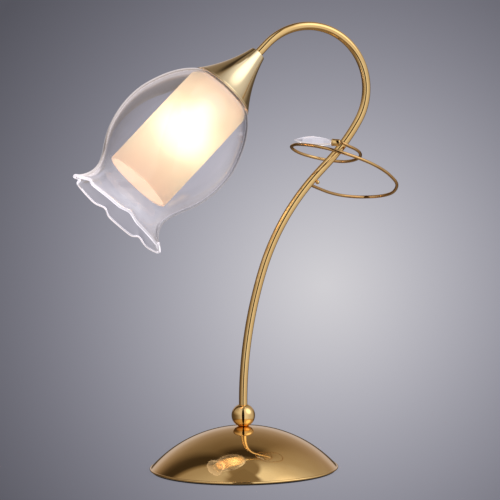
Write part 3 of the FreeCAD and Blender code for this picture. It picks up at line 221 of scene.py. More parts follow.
class LampColours(bpy.types.PropertyGroup):
    brass: FloatVectorProperty(
        name="Brass", description="Polished brass, face on", subtype="COLOR", size=3,
        default=(0.86, 0.60, 0.27))
    brass_deep: FloatVectorProperty(
        name="Brass, deeper", description="Where the lacquer is thicker", subtype="COLOR", size=3,
        default=(0.78, 0.50, 0.20))
    # The curl's wire gets a darker, browner copy of the brass, which is painted shade; its two tones
    # cloud at random.
    wire: FloatVectorProperty(
        name="Wire", description="Plating of the curl's wire", subtype="COLOR", size=3,
        default=(0.76, 0.49, 0.21))
    wire_brown: FloatVectorProperty(
        name="Wire, browner", description="Where the wire's plating is thicker",
        subtype="COLOR", size=3, default=(0.50, 0.27, 0.10))
    # A paler copy of the brass for the cone, which is painted light.
    cone_painted_paler: FloatVectorProperty(
        name="Brass, paler", description="Plating of the cone", subtype="COLOR", size=3,
        default=(0.87, 0.71, 0.46))
    glass: FloatVectorProperty(
        name="Glass", description="Tint of the blown glass", subtype="COLOR", size=3,
        default=(0.97, 0.96, 0.985))
    # The blown glass's glow is painted light, standing in for light scattered in the glass.
    painted_glass_glow: FloatVectorProperty(
        name="Veil", description="Milky light in the blown glass", subtype="COLOR", size=3,
        default=(0.93, 0.88, 0.95))
    frosted: FloatVectorProperty(
        name="Frosted glass", description="Tint of the frosted cylinder", subtype="COLOR", size=3,
        default=(0.84, 0.66, 0.50))
    # The frosted glass's glow below is painted light from the bulb.
    glow_near: FloatVectorProperty(
        name="Glow near the bulb", description="Light in the frosted glass beside the bulb",
        subtype="COLOR", size=3, default=(0.96, 0.97, 0.62))
    glow_far: FloatVectorProperty(
        name="Glow at the ends", description="Light in the frosted glass away from the bulb",
        subtype="COLOR", size=3, default=(1.0, 0.75, 0.50))
    glow_inside: FloatVectorProperty(
        name="Glow inside", description="Light on the inner face of the frosted glass",
        subtype="COLOR", size=3, default=(1.0, 0.87, 0.76))
    bulb: FloatVectorProperty(
        name="Bulb", description="Light of the bulb", subtype="COLOR", size=3,
        default=(1.0, 0.96, 0.86))


class LampStudio(bpy.types.PropertyGroup):
    backdrop_light: FloatVectorProperty(
        name="Backdrop, light", description="Middle of the backdrop", subtype="COLOR", size=3,
        default=(0.60, 0.56, 0.58))
    backdrop_dark: FloatVectorProperty(
        name="Backdrop, dark", description="Edges of the backdrop", subtype="COLOR", size=3,
        default=(0.12, 0.12, 0.145))
    key_power: FloatProperty(
        name="Key light", description="Power of the soft light above", default=18.0)


# ---- node trees -------------------------------------------------------------

class Graph:
    """Adds nodes to a tree.  A socket is given a plain value or another node's output."""

    def __init__(self, tree):
        self.tree = tree

    def add(self, kind, inputs=None, **settings):
        node = self.tree.nodes.new(kind)
        for name, value in settings.items():
            setattr(node, name, value)
        for key, value in (inputs or {}).items():
            if isinstance(value, bpy.types.NodeSocket):
                self.tree.links.new(value, node.inputs[key])
            else:
                node.inputs[key].default_value = value
        return node

    def math(self, operation, *values):
        node = self.add("ShaderNodeMath", dict(enumerate(values)), operation=operation)
        return node.outputs[0]


def new_tree(name, kind, inputs, outputs):
    """An empty node group with named sockets, and its two end nodes."""
    tree = bpy.data.node_groups.new(name, kind)
    for label, socket_kind, default in inputs:
        socket = tree.interface.new_socket(label, in_out="INPUT", socket_type=socket_kind)
        if default is not None:
            socket.default_value = default
    for label, socket_kind in outputs:
        tree.interface.new_socket(label, in_out="OUTPUT", socket_type=socket_kind)
    graph = Graph(tree)
    return graph, graph.add("NodeGroupInput").outputs, graph.add("NodeGroupOutput").inputs


def made_once(maker):
    """Keep the first tree or material that a function makes and give it out again."""
    kept = []

    def give():
        if not kept:
            kept.append(maker())
        return kept[0]
    return give


def close_tree(graph, geometry, material, out):
    merged = graph.add("GeometryNodeMergeByDistance", {"Geometry": geometry, "Distance": 2e-6})
    smooth = graph.add("GeometryNodeSetShadeSmooth", {"Geometry": merged.outputs[0]})
    real = graph.add("GeometryNodeRealizeInstances", {"Geometry": smooth.outputs[0]})
    done = graph.add("GeometryNodeSetMaterial", {"Geometry": real.outputs[0], "Material": material})
    graph.tree.links.new(done.outputs[0], out["Geometry"])


def turned_grid(graph, profile, steps):
    """A grid with one row for each point of a profile: its mesh, radius, station, angle and row."""
    rows = graph.add("GeometryNodeAttributeDomainSize", {"Geometry": profile})
    across = graph.math("ADD", steps, 1)
    grid = graph.add("GeometryNodeMeshGrid", {"Vertices X": rows.outputs["Point Count"],
                                              "Vertices Y": across})
    index = graph.add("GeometryNodeInputIndex").outputs[0]
    row = graph.math("FLOOR", graph.math("DIVIDE", graph.math("ADD", index, 0.5), across))
    column = graph.math("SUBTRACT", index, graph.math("MULTIPLY", row, across))
    angle = graph.math("DIVIDE", graph.math("MULTIPLY", column, 2 * math.pi), steps)
    place = graph.add("GeometryNodeInputPosition")
    point = graph.add("GeometryNodeSampleIndex",
                      {"Geometry": profile, "Value": place.outputs[0], "Index": row},
                      data_type="FLOAT_VECTOR")
    split = graph.add("ShaderNodeSeparateXYZ", {0: point.outputs[0]})
    return grid.outputs["Mesh"], split.outputs["X"], split.outputs["Z"], angle, row


def placed(graph, grid, x, y, z):
    spot = graph.add("ShaderNodeCombineXYZ", {"X": x, "Y": y, "Z": z})
    moved = graph.add("GeometryNodeSetPosition", {"Geometry": grid, "Position": spot.outputs[0]})
    return moved.outputs[0]


@made_once
def turned_form():
    """Turns a profile, drawn as points in the XZ plane, about the Z axis."""
    graph, given, out = new_tree("Turned_form", "GeometryNodeTree", (
        ("Profile", "NodeSocketGeometry", None), ("Steps", "NodeSocketInt", 192),
        ("Material", "NodeSocketMaterial", None)), (("Geometry", "NodeSocketGeometry"),))
    grid, radius, station, angle, _ = turned_grid(graph, given["Profile"], given["Steps"])
    x = graph.math("MULTIPLY", radius, graph.math("COSINE", angle))
    y = graph.math("MULTIPLY", radius, graph.math("SINE", angle))
    close_tree(graph, placed(graph, grid, x, y, station), given["Material"], out)
    return graph.tree


@made_once
def petal_form():
    """A turned glass whose lip is notched between petals, hangs down and is out of square."""
    graph, given, out = new_tree("Petal_glass", "GeometryNodeTree", (
        ("Profile", "NodeSocketGeometry", None), ("Steps", "NodeSocketInt", 360),
        ("Notch in", "NodeSocketFloat", 0.0028), ("Notch back", "NodeSocketFloat", 0.0028),
        ("Sharpness", "NodeSocketFloat", 6.0), ("Droop", "NodeSocketFloat", 0.0056),
        ("Droop start", "NodeSocketFloat", 0.0948), ("Mouth", "NodeSocketFloat", 0.1366),
        ("Out of square", "NodeSocketFloat", 0.0314), ("Material", "NodeSocketMaterial", None)),
        (("Geometry", "NodeSocketGeometry"),))
    grid, radius, station, angle, row = turned_grid(graph, given["Profile"], given["Steps"])

    def of_row(label):
        share = graph.add("GeometryNodeInputNamedAttribute", {"Name": label}, data_type="FLOAT")
        return graph.add("GeometryNodeSampleIndex", {
            "Geometry": given["Profile"], "Value": share.outputs[0], "Index": row},
            data_type="FLOAT").outputs[0]

    lip = of_row("lip")
    # petals passed so far, counted from the first notch
    turn = graph.math("MODULO", graph.math(
        "ADD", angle, 2 * math.pi - math.radians(TULIP_NOTCHES[0])), 2 * math.pi)
    petals = 0.0
    ends = [notch - TULIP_NOTCHES[0] for notch in TULIP_NOTCHES] + [360.0]
    for start, end in zip(ends, ends[1:]):
        share = graph.add("ShaderNodeMapRange", {
            "Value": turn, "From Min": math.radians(start), "From Max": math.radians(end)})
        petals = graph.math("ADD", petals, share.outputs[0])
    wave = graph.math("COSINE", graph.math("MULTIPLY", petals, 2 * math.pi))
    notch = graph.math("POWER", graph.math("MULTIPLY", graph.math("ADD", wave, 1.0), 0.5),
                       given["Sharpness"])
    notch = graph.math("MULTIPLY", notch, lip)
    drawn = graph.math("SUBTRACT", radius, graph.math("MULTIPLY", notch, given["Notch in"]))
    x = graph.math("MULTIPLY", drawn, graph.math("COSINE", angle))
    y = graph.math("MULTIPLY", drawn, graph.math("SINE", angle))
    hang = graph.add("ShaderNodeMapRange", {
        "Value": station, "From Min": given["Droop start"], "From Max": given["Mouth"]})
    droop = graph.math("MULTIPLY", graph.math("POWER", hang.outputs[0], 1.3), given["Droop"])
    slant = graph.math("MULTIPLY", graph.math("MULTIPLY", graph.math("SUBTRACT", y, x), lip),
                       given["Out of square"])
    back = graph.math("ADD", graph.math("MULTIPLY", notch, given["Notch back"]), slant)
    mesh = placed(graph, grid, graph.math("SUBTRACT", x, droop), y,
                  graph.math("SUBTRACT", station, back))
    marked = graph.add("GeometryNodeStoreNamedAttribute", {
        "Geometry": mesh, "Name": "bead", "Value": of_row("bead")}, data_type="FLOAT",
        domain="POINT")
    close_tree(graph, marked.outputs[0], given["Material"], out)
    return graph.tree


@made_once
def swept_bar():
    """Sweeps a round bar along a line of points."""
    graph, given, out = new_tree("Swept_bar", "GeometryNodeTree", (
        ("Line", "NodeSocketGeometry", None), ("Radius", "NodeSocketFloat", 0.0036),
        ("Sides", "NodeSocketInt", 48), ("Capped", "NodeSocketBool", True),
        ("Material", "NodeSocketMaterial", None)), (("Geometry", "NodeSocketGeometry"),))
    line = graph.add("GeometryNodeMeshToCurve", {"Mesh": given["Line"]})
    ring = graph.add("GeometryNodeCurvePrimitiveCircle",
                     {"Resolution": given["Sides"], "Radius": given["Radius"]})
    bar = graph.add("GeometryNodeCurveToMesh", {
        "Curve": line.outputs[0], "Profile Curve": ring.outputs[0], "Fill Caps": given["Capped"]})
    close_tree(graph, bar.outputs[0], given["Material"], out)
    return graph.tree


# ---- shader groups ----------------------------------------------------------

@made_once
def hand_marks():
    """Faint smears and fine rubbing marks: a roughness and a height that vary over a surface."""
    graph, given, out = new_tree("Hand_marks", "ShaderNodeTree", (
        ("Vector", "NodeSocketVector", None), ("Smear size", "NodeSocketFloat", 30.0),
        ("Rub size", "NodeSocketFloat", 900.0), ("Low", "NodeSocketFloat", 0.05),
        ("High", "NodeSocketFloat", 0.12)),
        (("Roughness", "NodeSocketFloat"), ("Height", "NodeSocketFloat")))
    smear = graph.add("ShaderNodeTexNoise", {
        "Vector": given["Vector"], "Scale": given["Smear size"], "Detail": 4.0, "Distortion": 0.6})
    rub = graph.add("ShaderNodeTexNoise", {
        "Vector": given["Vector"], "Scale": given["Rub size"], "Detail": 3.0})
    both = graph.math("ADD", graph.math("MULTIPLY", smear.outputs[0], 0.75),
                      graph.math("MULTIPLY", rub.outputs[0], 0.25))
    spread = graph.add("ShaderNodeMapRange", {
        "Value": both, "From Min": 0.36, "From Max": 0.64, "To Min": given["Low"],
        "To Max": given["High"]})
    graph.tree.links.new(spread.outputs[0], out["Roughness"])
    graph.tree.links.new(rub.outputs[0], out["Height"])
    return graph.tree


@made_once
def two_tone():
    """Soft clouding between two colours."""
    graph, given, out = new_tree("Two_tone", "ShaderNodeTree", (
        ("Vector", "NodeSocketVector", None), ("Size", "NodeSocketFloat", 40.0),
        ("Colour A", "NodeSocketColor", (0.8, 0.8, 0.8, 1.0)),
        ("Colour B", "NodeSocketColor", (0.6, 0.6, 0.6, 1.0))),
        (("Colour", "NodeSocketColor"),))
    cloud = graph.add("ShaderNodeTexNoise", {
        "Vector": given["Vector"], "Scale": given["Size"], "Detail": 5.0, "Roughness": 0.6})
    share = graph.add("ShaderNodeMapRange", {
        "Value": cloud.outputs[0], "From Min": 0.35, "From Max": 0.65})
    mix = graph.add("ShaderNodeMixRGB", {
        "Fac": share.outputs[0], "Color1": given["Colour A"], "Color2": given["Colour B"]})
    graph.tree.links.new(mix.outputs[0], out["Colour"])
    return graph.tree


@made_once
def grain():
    """Cast, pressed or moulded grain: a height made of small cells and fine noise."""
    graph, given, out = new_tree("Grain", "ShaderNodeTree", (
        ("Vector", "NodeSocketVector", None), ("Size", "NodeSocketFloat", 600.0)),
        (("Height", "NodeSocketFloat"),))
    cells = graph.add("ShaderNodeTexVoronoi", {"Vector": given["Vector"], "Scale": given["Size"]})
    fine = graph.add("ShaderNodeTexNoise", {
        "Vector": given["Vector"], "Scale": graph.math("MULTIPLY", given["Size"], 2.5),
        "Detail": 4.0})
    height = graph.math("ADD", graph.math("MULTIPLY", cells.outputs[0], 0.6),
                        graph.math("MULTIPLY", fine.outputs[0], 0.4))
    graph.tree.links.new(height, out["Height"])
    return graph.tree


def rgba(colour):
    return (*colour, 1.0)


def ramp(graph, value, stops):
    """A colour ramp with (position, colour) stops."""
    node = graph.add("ShaderNodeValToRGB", {"Fac": value})
    steps = node.color_ramp.elements
    while len(steps) < len(stops):
        steps.new(0.5)
    for step, (position, colour) in zip(steps, stops):
        step.position = position
        step.color = rgba(colour)
    return node.outputs["Color"]


class Finish:
    """A material with a Principled shader, its colour, roughness and bump from the groups."""

    def __init__(self, name, colours, roughness=(0.3, 0.4), cloud=40.0, smear=30.0, rub=900.0,
                 rub_depth=0.0, grain_size=600.0, grain_depth=0.0, **plain):
        self.material = bpy.data.materials.new(name)
        self.material.use_nodes = True
        tree = self.material.node_tree
        tree.nodes.clear()
        self.graph = Graph(tree)
        self.place = self.graph.add("ShaderNodeTexCoord").outputs["Object"]
        tone = self.group(two_tone(), {
            "Size": cloud, "Colour A": rgba(colours[0]), "Colour B": rgba(colours[-1])})
        marks = self.group(hand_marks(), {
            "Smear size": smear, "Rub size": rub, "Low": roughness[0], "High": roughness[1]})
        self.shader = self.graph.add("ShaderNodeBsdfPrincipled", {
            "Base Color": tone.outputs[0], "Roughness": marks.outputs["Roughness"]})
        normal = None
        if rub_depth:
            normal = self.bump(marks.outputs["Height"], rub_depth, normal)
        if grain_depth:
            pits = self.group(grain(), {"Size": grain_size})
            normal = self.bump(pits.outputs[0], grain_depth, normal)
        if normal:
            tree.links.new(normal, self.shader.inputs["Normal"])
        for label, value in plain.items():
            self.shader.inputs[label.replace("_", " ")].default_value = value
        self.out = self.graph.add("ShaderNodeOutputMaterial", {"Surface": self.shader.outputs[0]})

    def group(self, tree, inputs):
        node = self.graph.add("ShaderNodeGroup", node_tree=tree)
        self.graph.tree.links.new(self.place, node.inputs["Vector"])
        for key, value in inputs.items():
            node.inputs[key].default_value = value
        return node

    def in_head(self):
        """Place in the head's own frame: Z is the station below the cone's rim."""
        matrix = head_matrix(CONE_LENGTH)
        mapped = self.graph.add("ShaderNodeMapping", {
            "Vector": self.place, "Location": matrix.translation,
            "Rotation": matrix.to_euler()}, vector_type="TEXTURE")
        return self.graph.add("ShaderNodeSeparateXYZ", {0: mapped.outputs[0]}).outputs

    def bump(self, height, depth, normal):
        node = self.graph.add("ShaderNodeBump", {
            "Height": height, "Distance": depth, "Strength": 1.0})
        if normal:
            self.graph.tree.links.new(normal, node.inputs["Normal"])
        return node.outputs[0]


def settings():
    scene = bpy.context.scene
    return scene.lamp_sizes, scene.lamp_colours, scene.lamp_studio


@made_once
def brass():
    colours = settings()[1]
    finish = Finish("polished_brass", (colours.brass, colours.brass_deep), (0.035, 0.085),
                    cloud=14.0, smear=26.0, rub=1400.0, rub_depth=5e-7, Metallic=1.0,
                    Coat_Weight=0.25, Coat_Roughness=0.03)
    return finish.material


@made_once
def brass_painted_darker():
    """A darker, browner copy of the brass for the curl's wire, which is painted shade."""
    colours = settings()[1]
    finish = Finish("polished_brass_painted_darker", (colours.wire, colours.wire_brown), (0.06, 0.12),
                    cloud=24.0, smear=40.0, rub=1400.0, rub_depth=5e-7, Metallic=1.0,
                    Coat_Weight=0.2, Coat_Roughness=0.05)
    return finish.material


@made_once
def brass_painted_paler():
    """A paler copy of the brass for the cone: painted light, as the head is lit more brightly than
    the rest.
    """
    colours = settings()[1]
    finish = Finish("polished_brass_painted_paler", (colours.cone_painted_paler,), (0.05, 0.11),
                    cloud=14.0, smear=26.0, rub=1400.0, rub_depth=5e-7, Metallic=1.0,
                    Coat_Weight=0.35, Coat_Roughness=0.04)
    return finish.material


@made_once
def clear_glass():
    """Clear glass with painted light: a glow that stands in for light scattered in the glass, painted
    bright edges and a painted glint on the rim's bead.
    """
    colours = settings()[1]
    finish = Finish("clear_blown_glass", (colours.glass,), (0.0, 0.015), smear=12.0,
                    IOR=1.47, Transmission_Weight=1.0, Emission_Color=rgba(colours.painted_glass_glow))
    graph = finish.graph
    place = finish.in_head()
    share = graph.math("DIVIDE", place["Z"], TULIP_MOUTH * MM)
    # painted glow in the glass, faint near the top and stronger towards the mouth
    painted_glass_glow = ramp(graph, share, ((0.0, (0.036,) * 3), (0.60, (0.036,) * 3), (0.78, (0.050,) * 3),
                               (0.90, (0.10,) * 3), (0.98, (0.15,) * 3)))
    # painted light: the glow is stronger on one side of the glass than on the other
    side = graph.add("ShaderNodeMapRange", {
        "Value": place["X"], "From Min": -0.05, "From Max": 0.05, "To Min": 0.35,
        "To Max": 1.15}).outputs[0]
    # painted highlight: the glass glows brighter at its edges, where its face turns away from the
    # viewer
    facing = graph.add("ShaderNodeLayerWeight", {"Blend": 0.5}).outputs["Facing"]
    edge = graph.add("ShaderNodeMapRange", {
        "Value": facing, "From Min": 0.78, "From Max": 0.97, "To Max": 0.32}).outputs[0]
    # painted glint along the rim's bead
    bead = graph.add("ShaderNodeAttribute", attribute_name="bead").outputs["Fac"]
    level = graph.math("ADD", graph.math("MULTIPLY", painted_glass_glow, side), edge)
    level = graph.math("ADD", level, graph.math("MULTIPLY", bead, 0.22))
    graph.tree.links.new(level, finish.shader.inputs["Emission Strength"])
    return finish.material


@made_once
def crystal():
    colours = settings()[1]
    # The crystal's faint glow is painted light, for the bright streaks in its facets.
    finish = Finish("cut_crystal", (colours.glass,), (0.0, 0.01), smear=60.0,
                    IOR=1.62, Transmission_Weight=1.0, Emission_Color=rgba(colours.painted_glass_glow),
                    Emission_Strength=0.16)
    return finish.material


@made_once
def frosted_glass():
    """Etched glass with the bulb's light painted into it as a glow: yellowish beside the bulb and
    peach towards its ends.
    """
    colours = settings()[1]
    finish = Finish("frosted_glass", (colours.frosted,), (0.42, 0.50), smear=90.0, rub=2200.0,
                    rub_depth=4e-6, IOR=1.45, Transmission_Weight=0.50)
    graph = finish.graph
    # painted light: the colour and strength of the glow follow the distance from the bulb's centre
    offset = graph.add("ShaderNodeVectorMath", {0: finish.place, 1: rim_point(BULB_CENTRE)},
                       operation="DISTANCE")
    away = graph.add("ShaderNodeMapRange", {
        "Value": offset.outputs["Value"], "From Min": 0.028, "From Max": 0.066}).outputs[0]
    glow = ramp(graph, away, ((0.0, colours.glow_near), (0.45, colours.glow_near),
                              (0.85, colours.glow_far)))
    level = ramp(graph, away, ((0.0, (0.46,) * 3), (0.25, (0.29,) * 3), (0.7, (0.24,) * 3)))
    # painted light on the inner face, which glows in a colour of its own
    place = finish.in_head()
    reach = graph.math("SQRT", graph.math("ADD", graph.math("POWER", place["X"], 2.0),
                                          graph.math("POWER", place["Y"], 2.0)))
    inside = graph.math("LESS_THAN", reach, (FROST_RADIUS - 0.6) * MM)
    glow = graph.add("ShaderNodeMixRGB", {
        "Fac": inside, "Color1": glow, "Color2": rgba(colours.glow_inside)}).outputs[0]
    graph.tree.links.new(glow, finish.shader.inputs["Emission Color"])
    graph.tree.links.new(level, finish.shader.inputs["Emission Strength"])
    return finish.material


@made_once
def lit_bulb():
    """Opal glass, brightest where it faces the viewer."""
    colours = settings()[1]
    finish = Finish("lit_bulb_glass", ((0.98, 0.97, 0.95),), (0.45, 0.55), smear=120.0,
                    Emission_Color=rgba(colours.bulb))
    graph = finish.graph
    facing = graph.add("ShaderNodeLayerWeight", {"Blend": 0.5}).outputs["Facing"]
    level = graph.add("ShaderNodeMapRange", {
        "Value": facing, "From Min": 0.25, "From Max": 0.95, "To Min": 4.2, "To Max": 1.6})
    graph.tree.links.new(level.outputs[0], finish.shader.inputs["Emission Strength"])
    return finish.material


PLAIN_FINISHES = {
    "cast_iron": dict(colours=((0.05, 0.05, 0.055), (0.09, 0.085, 0.08)), roughness=(0.55, 0.75),
                      grain_size=500.0, grain_depth=1.5e-4, Metallic=0.9),
    "black_lacquer": dict(colours=((0.012, 0.012, 0.013), (0.02, 0.02, 0.021)),
                          roughness=(0.25, 0.4), grain_size=900.0, grain_depth=1.5e-5,
                          Metallic=0.2, Coat_Weight=0.3),
    "felt": dict(colours=((0.012, 0.012, 0.014), (0.03, 0.03, 0.033)), roughness=(0.9, 1.0),
                 cloud=400.0, grain_size=1600.0, grain_depth=3e-4, Sheen_Weight=0.5),
    "zinc_steel": dict(colours=((0.56, 0.57, 0.58), (0.48, 0.49, 0.52)), roughness=(0.28, 0.42),
                       cloud=120.0, rub_depth=6e-6, Metallic=1.0),
    "black_plastic": dict(colours=((0.015, 0.015, 0.016), (0.022, 0.022, 0.023)),
                          roughness=(0.38, 0.5), grain_size=1500.0, grain_depth=2.5e-5),
    "block_plastic": dict(colours=((0.78, 0.77, 0.73), (0.72, 0.71, 0.66)), roughness=(0.4, 0.5),
                          grain_size=1300.0, grain_depth=2e-5, Subsurface_Weight=0.1),
    "terminal_brass": dict(colours=((0.80, 0.58, 0.28), (0.66, 0.46, 0.22)),
                           roughness=(0.22, 0.4), cloud=200.0, rub_depth=8e-6, Metallic=1.0),
    "brown_insulation": dict(colours=((0.10, 0.035, 0.015), (0.13, 0.045, 0.02)),
                             roughness=(0.35, 0.5), grain_size=1200.0, grain_depth=2e-5),
    "blue_insulation": dict(colours=((0.015, 0.07, 0.30), (0.02, 0.09, 0.36)),
                            roughness=(0.35, 0.5), grain_size=1200.0, grain_depth=2e-5),
    "white_plastic": dict(colours=((0.82, 0.80, 0.75), (0.76, 0.74, 0.69)),
                          roughness=(0.32, 0.45), grain_size=1400.0, grain_depth=1.5e-5),
    "porcelain": dict(colours=((0.85, 0.84, 0.80), (0.80, 0.79, 0.76)), roughness=(0.12, 0.25),
                      grain_size=300.0, grain_depth=2e-5, Coat_Weight=0.6),
    "nickelled_steel": dict(colours=((0.66, 0.62, 0.56), (0.58, 0.55, 0.50)),
                            roughness=(0.16, 0.3), cloud=160.0, rub_depth=6e-6, Metallic=1.0),
    "silicone": dict(colours=((0.70, 0.70, 0.68), (0.62, 0.62, 0.60)), roughness=(0.5, 0.65),
                     grain_size=1000.0, grain_depth=2e-5, Transmission_Weight=0.25),
    "bulb_aluminium": dict(colours=((0.72, 0.72, 0.70), (0.62, 0.62, 0.62)),
                           roughness=(0.2, 0.36), cloud=180.0, rub_depth=8e-6, Metallic=1.0),
    "black_glass": dict(colours=((0.012, 0.012, 0.014), (0.02, 0.02, 0.022)),
                        roughness=(0.05, 0.15), grain_size=400.0, grain_depth=2e-5),
    "solder": dict(colours=((0.55, 0.55, 0.55), (0.44, 0.44, 0.45)), roughness=(0.3, 0.5),
                   cloud=700.0, grain_size=900.0, grain_depth=6e-5, Metallic=1.0),
    "mount_glass": dict(colours=((0.95, 0.96, 0.96),), roughness=(0.02, 0.08),
                        grain_size=200.0, grain_depth=1e-5, Transmission_Weight=0.9),
    "lead_wire": dict(colours=((0.60, 0.55, 0.48), (0.48, 0.44, 0.40)), roughness=(0.25, 0.4),
                      cloud=500.0, rub_depth=4e-6, Metallic=1.0),
    "tungsten": dict(colours=((0.9, 0.6, 0.3), (0.7, 0.45, 0.25)), roughness=(0.4, 0.6),
                     cloud=900.0, rub_depth=4e-6, Metallic=0.8,
                     Emission_Color=(1.0, 0.62, 0.28, 1.0), Emission_Strength=6.0),
}
SHOWN_FINISHES = {
    "polished_brass": brass, "clear_glass": clear_glass, "crystal": crystal,
    "frosted_glass": frosted_glass, "bulb_frosted": lit_bulb,
}
plain_made = {}


def finish_for(slot):
    """The material of a slot, made when it is first asked for."""
    if slot in SHOWN_FINISHES:
        return SHOWN_FINISHES[slot]()
    if slot not in plain_made:
        plain_made[slot] = Finish(slot, **PLAIN_FINISHES[slot]).material
    return plain_made[slot]


# ---- where things are -------------------------------------------------------

def heading(lean):
    return Vector((math.sin(lean), 0.0, math.cos(lean)))


def across(lean):
    return Vector((math.cos(lean), 0.0, -math.sin(lean)))


def stem_at(distance):
    """Point on the stem's centre line this far from its foot, and its lean from upright."""
    place = Vector((0.0, 0.0, STEM_FOOT))
    lean = 0.0
    for radius, amount in STEM_RUNS:
        if radius == 0.0:
            step = min(distance, amount)
            place = place + heading(lean) * step
        else:
            sign = math.copysign(1.0, amount)
            step = min(distance, abs(math.radians(amount)) * radius)
            centre = place + across(lean) * (sign * radius)
            lean += sign * step / radius
            place = centre - across(lean) * (sign * radius)
        distance -= step
        if distance <= 0.0:
            break
    return place, lean


def runs_length(runs):
    return sum(amount if radius == 0.0 else abs(math.radians(amount)) * radius
               for radius, amount in runs)


def stem_length():
    return runs_length(STEM_RUNS)


def out_of_stem(along, around):
    """Point on the stem's axis near its waist, and a direction square to the stem there."""
    waist_middle = runs_length(STEM_RUNS[:3]) + STEM_RUNS[3][1] / 2
    place, lean = stem_at(waist_middle + along)
    turn = Quaternion(heading(lean), math.radians(-around))
    return place, turn @ across(lean)


def head_matrix(station):
    """Frame whose Z axis runs down the head from a station below the cone's top."""
    top, lean = stem_at(stem_length() - STEM_IN_CONE)
    down = heading(lean)
    side = Vector((0.0, 1.0, 0.0))
    turn = Matrix((side.cross(down), side, down)).transposed().to_4x4()
    return Matrix.Translation((top + down * station) * MM) @ turn


def rim_point(station):
    return head_matrix(CONE_LENGTH + station).translation


def leaf_matrix():
    along = (LEAF_TIP - LEAF_ROOT).normalized()
    flat = along.cross(UP).normalized()
    turn = Matrix((flat.cross(along), along.cross(flat.cross(along)), along)).transposed()
    return Matrix.Translation(LEAF_ROOT * MM) @ turn.to_4x4()


# ---- drawing helpers --------------------------------------------------------

def circle_tangent(before, here, after):
    """Direction at a point of the circle through it and its two neighbours."""
    back = here - before
    ahead = after - here
    return (back * (ahead.length / back.length) + ahead * (back.length / ahead.length)).normalized()


def smooth_path(points, first, last, per_span):
    """Points of a smooth curve through the given ones, with the headings at its two ends."""
    inner = [circle_tangent(*points[i - 1:i + 2]) for i in range(1, len(points) - 1)]
    headings = [first] + inner + [last]
    path = [points[0]]
    for i in range(len(points) - 1):
        start, end = points[i], points[i + 1]
        pull = (end - start).length
        for k in range(1, per_span + 1):
            t = k / per_span
            path.append(start * (2 * t ** 3 - 3 * t ** 2 + 1) + end * (3 * t ** 2 - 2 * t ** 3)
                        + headings[i] * (pull * (t ** 3 - 2 * t ** 2 + t))
                        + headings[i + 1] * (pull * (t ** 3 - t ** 2)))
    return path


def arc(centre, radius, start, end, steps):
    """Profile points on an arc, by angles in degrees from +X towards +Z."""
    angles = [math.radians(start + (end - start) * k / steps) for k in range(steps + 1)]
    return [(centre[0] + radius * math.cos(a), centre[1] + radius * math.sin(a)) for a in angles]


def eased(points, radius, closed=True):
    """Round off the corners of a profile."""
    result = []
    count = len(points)
    for i, here in enumerate(points):
        if not closed and i in (0, count - 1):
            result.append(here)
            continue
        here = Vector(here)
        back = Vector(points[i - 1]) - here
        ahead = Vector(points[(i + 1) % count]) - here
        if back.length < 1e-6 or ahead.length < 1e-6 or back.angle(ahead) > math.radians(160):
            result.append(tuple(here))
            continue
        reach = min(radius, back.length * 0.45, ahead.length * 0.45)
        start = here + back.normalized() * reach
        end = here + ahead.normalized() * reach
        for t in (0.0, 0.25, 0.5, 0.75, 1.0):
            spot = start * (1 - t) ** 2 + here * (2 * t * (1 - t)) + end * t ** 2
            result.append(tuple(spot))
    return result


def profile_mesh(name, points, closed, **shares):
    """A mesh of bare points in the XZ plane, in order, and back at the first if closed."""
    points = list(points) + ([points[0]] if closed else [])
    mesh = bpy.data.meshes.new(name)
    mesh.from_pydata([(x * MM, 0.0, z * MM) for x, z in points], [], [])
    for label, values in shares.items():
        values = list(values) + ([values[0]] if closed else [])
        mesh.attributes.new(label, "FLOAT", "POINT").data.foreach_set("value", values)
    return mesh


def line_mesh(name, points):
    mesh = bpy.data.meshes.new(name)
    edges = [(i, i + 1) for i in range(len(points) - 1)]
    mesh.from_pydata([tuple(point * MM) for point in points], edges, [])
    return mesh


def shaped(name, source, tree, **inputs):
    """Run a geometry tree on a source mesh and keep what it makes as a plain mesh."""
    piece = bpy.data.objects.new(name, source)
    bpy.context.scene.collection.objects.link(piece)
    shape = piece.modifiers.new("shape", "NODES")
    shape.node_group = tree
    sockets = {item.name: item.identifier for item in tree.interface.items_tree
               if item.in_out == "INPUT"}
    for label, value in inputs.items():
        shape[sockets[label.replace("_", " ")]] = value
    evaluated = piece.evaluated_get(bpy.context.evaluated_depsgraph_get())
    mesh = bpy.data.meshes.new_from_object(evaluated)
    piece.modifiers.remove(shape)
    piece.data = mesh
    mesh.name = name
    bpy.data.meshes.remove(source)
    return piece


def tidy_mesh(mesh, crease=32.0):
    """Join doubles, turn every face outwards and keep only real edges sharp."""
    work = bmesh.new()
    work.from_mesh(mesh)
    bmesh.ops.remove_doubles(work, verts=work.verts, dist=1e-7)
    bmesh.ops.dissolve_degenerate(work, edges=work.edges, dist=1e-8)
    bmesh.ops.recalc_face_normals(work, faces=work.faces)
    work.to_mesh(mesh)
    work.free()
    mesh.shade_smooth()
    mesh.set_sharp_from_angle(angle=math.radians(crease))


def kept(piece, body, slot, *nodes):
    """Hand a finished piece over: what it rides on and the nodes it stands for, which it hides; its
    slot is not used.
    """
    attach(piece, body)
    if nodes:
        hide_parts(*nodes)
    return piece


def turned_piece(name, points, matrix, slot, body, *nodes, closed=True, crease=32.0,
                 material=None):
    sizes = settings()[0]
    piece = shaped(name, profile_mesh(name + "_profile", points, closed), turned_form(),
                   Steps=sizes.steps, Material=material or finish_for(slot))
    piece.data.transform(matrix)
    tidy_mesh(piece.data, crease)
    return kept(piece, body, slot, *nodes)


def new_object(name, mesh):
    piece = bpy.data.objects.new(name, mesh)
    bpy.context.scene.collection.objects.link(piece)
    return piece


# ---- base -------------------------------------------------------------------

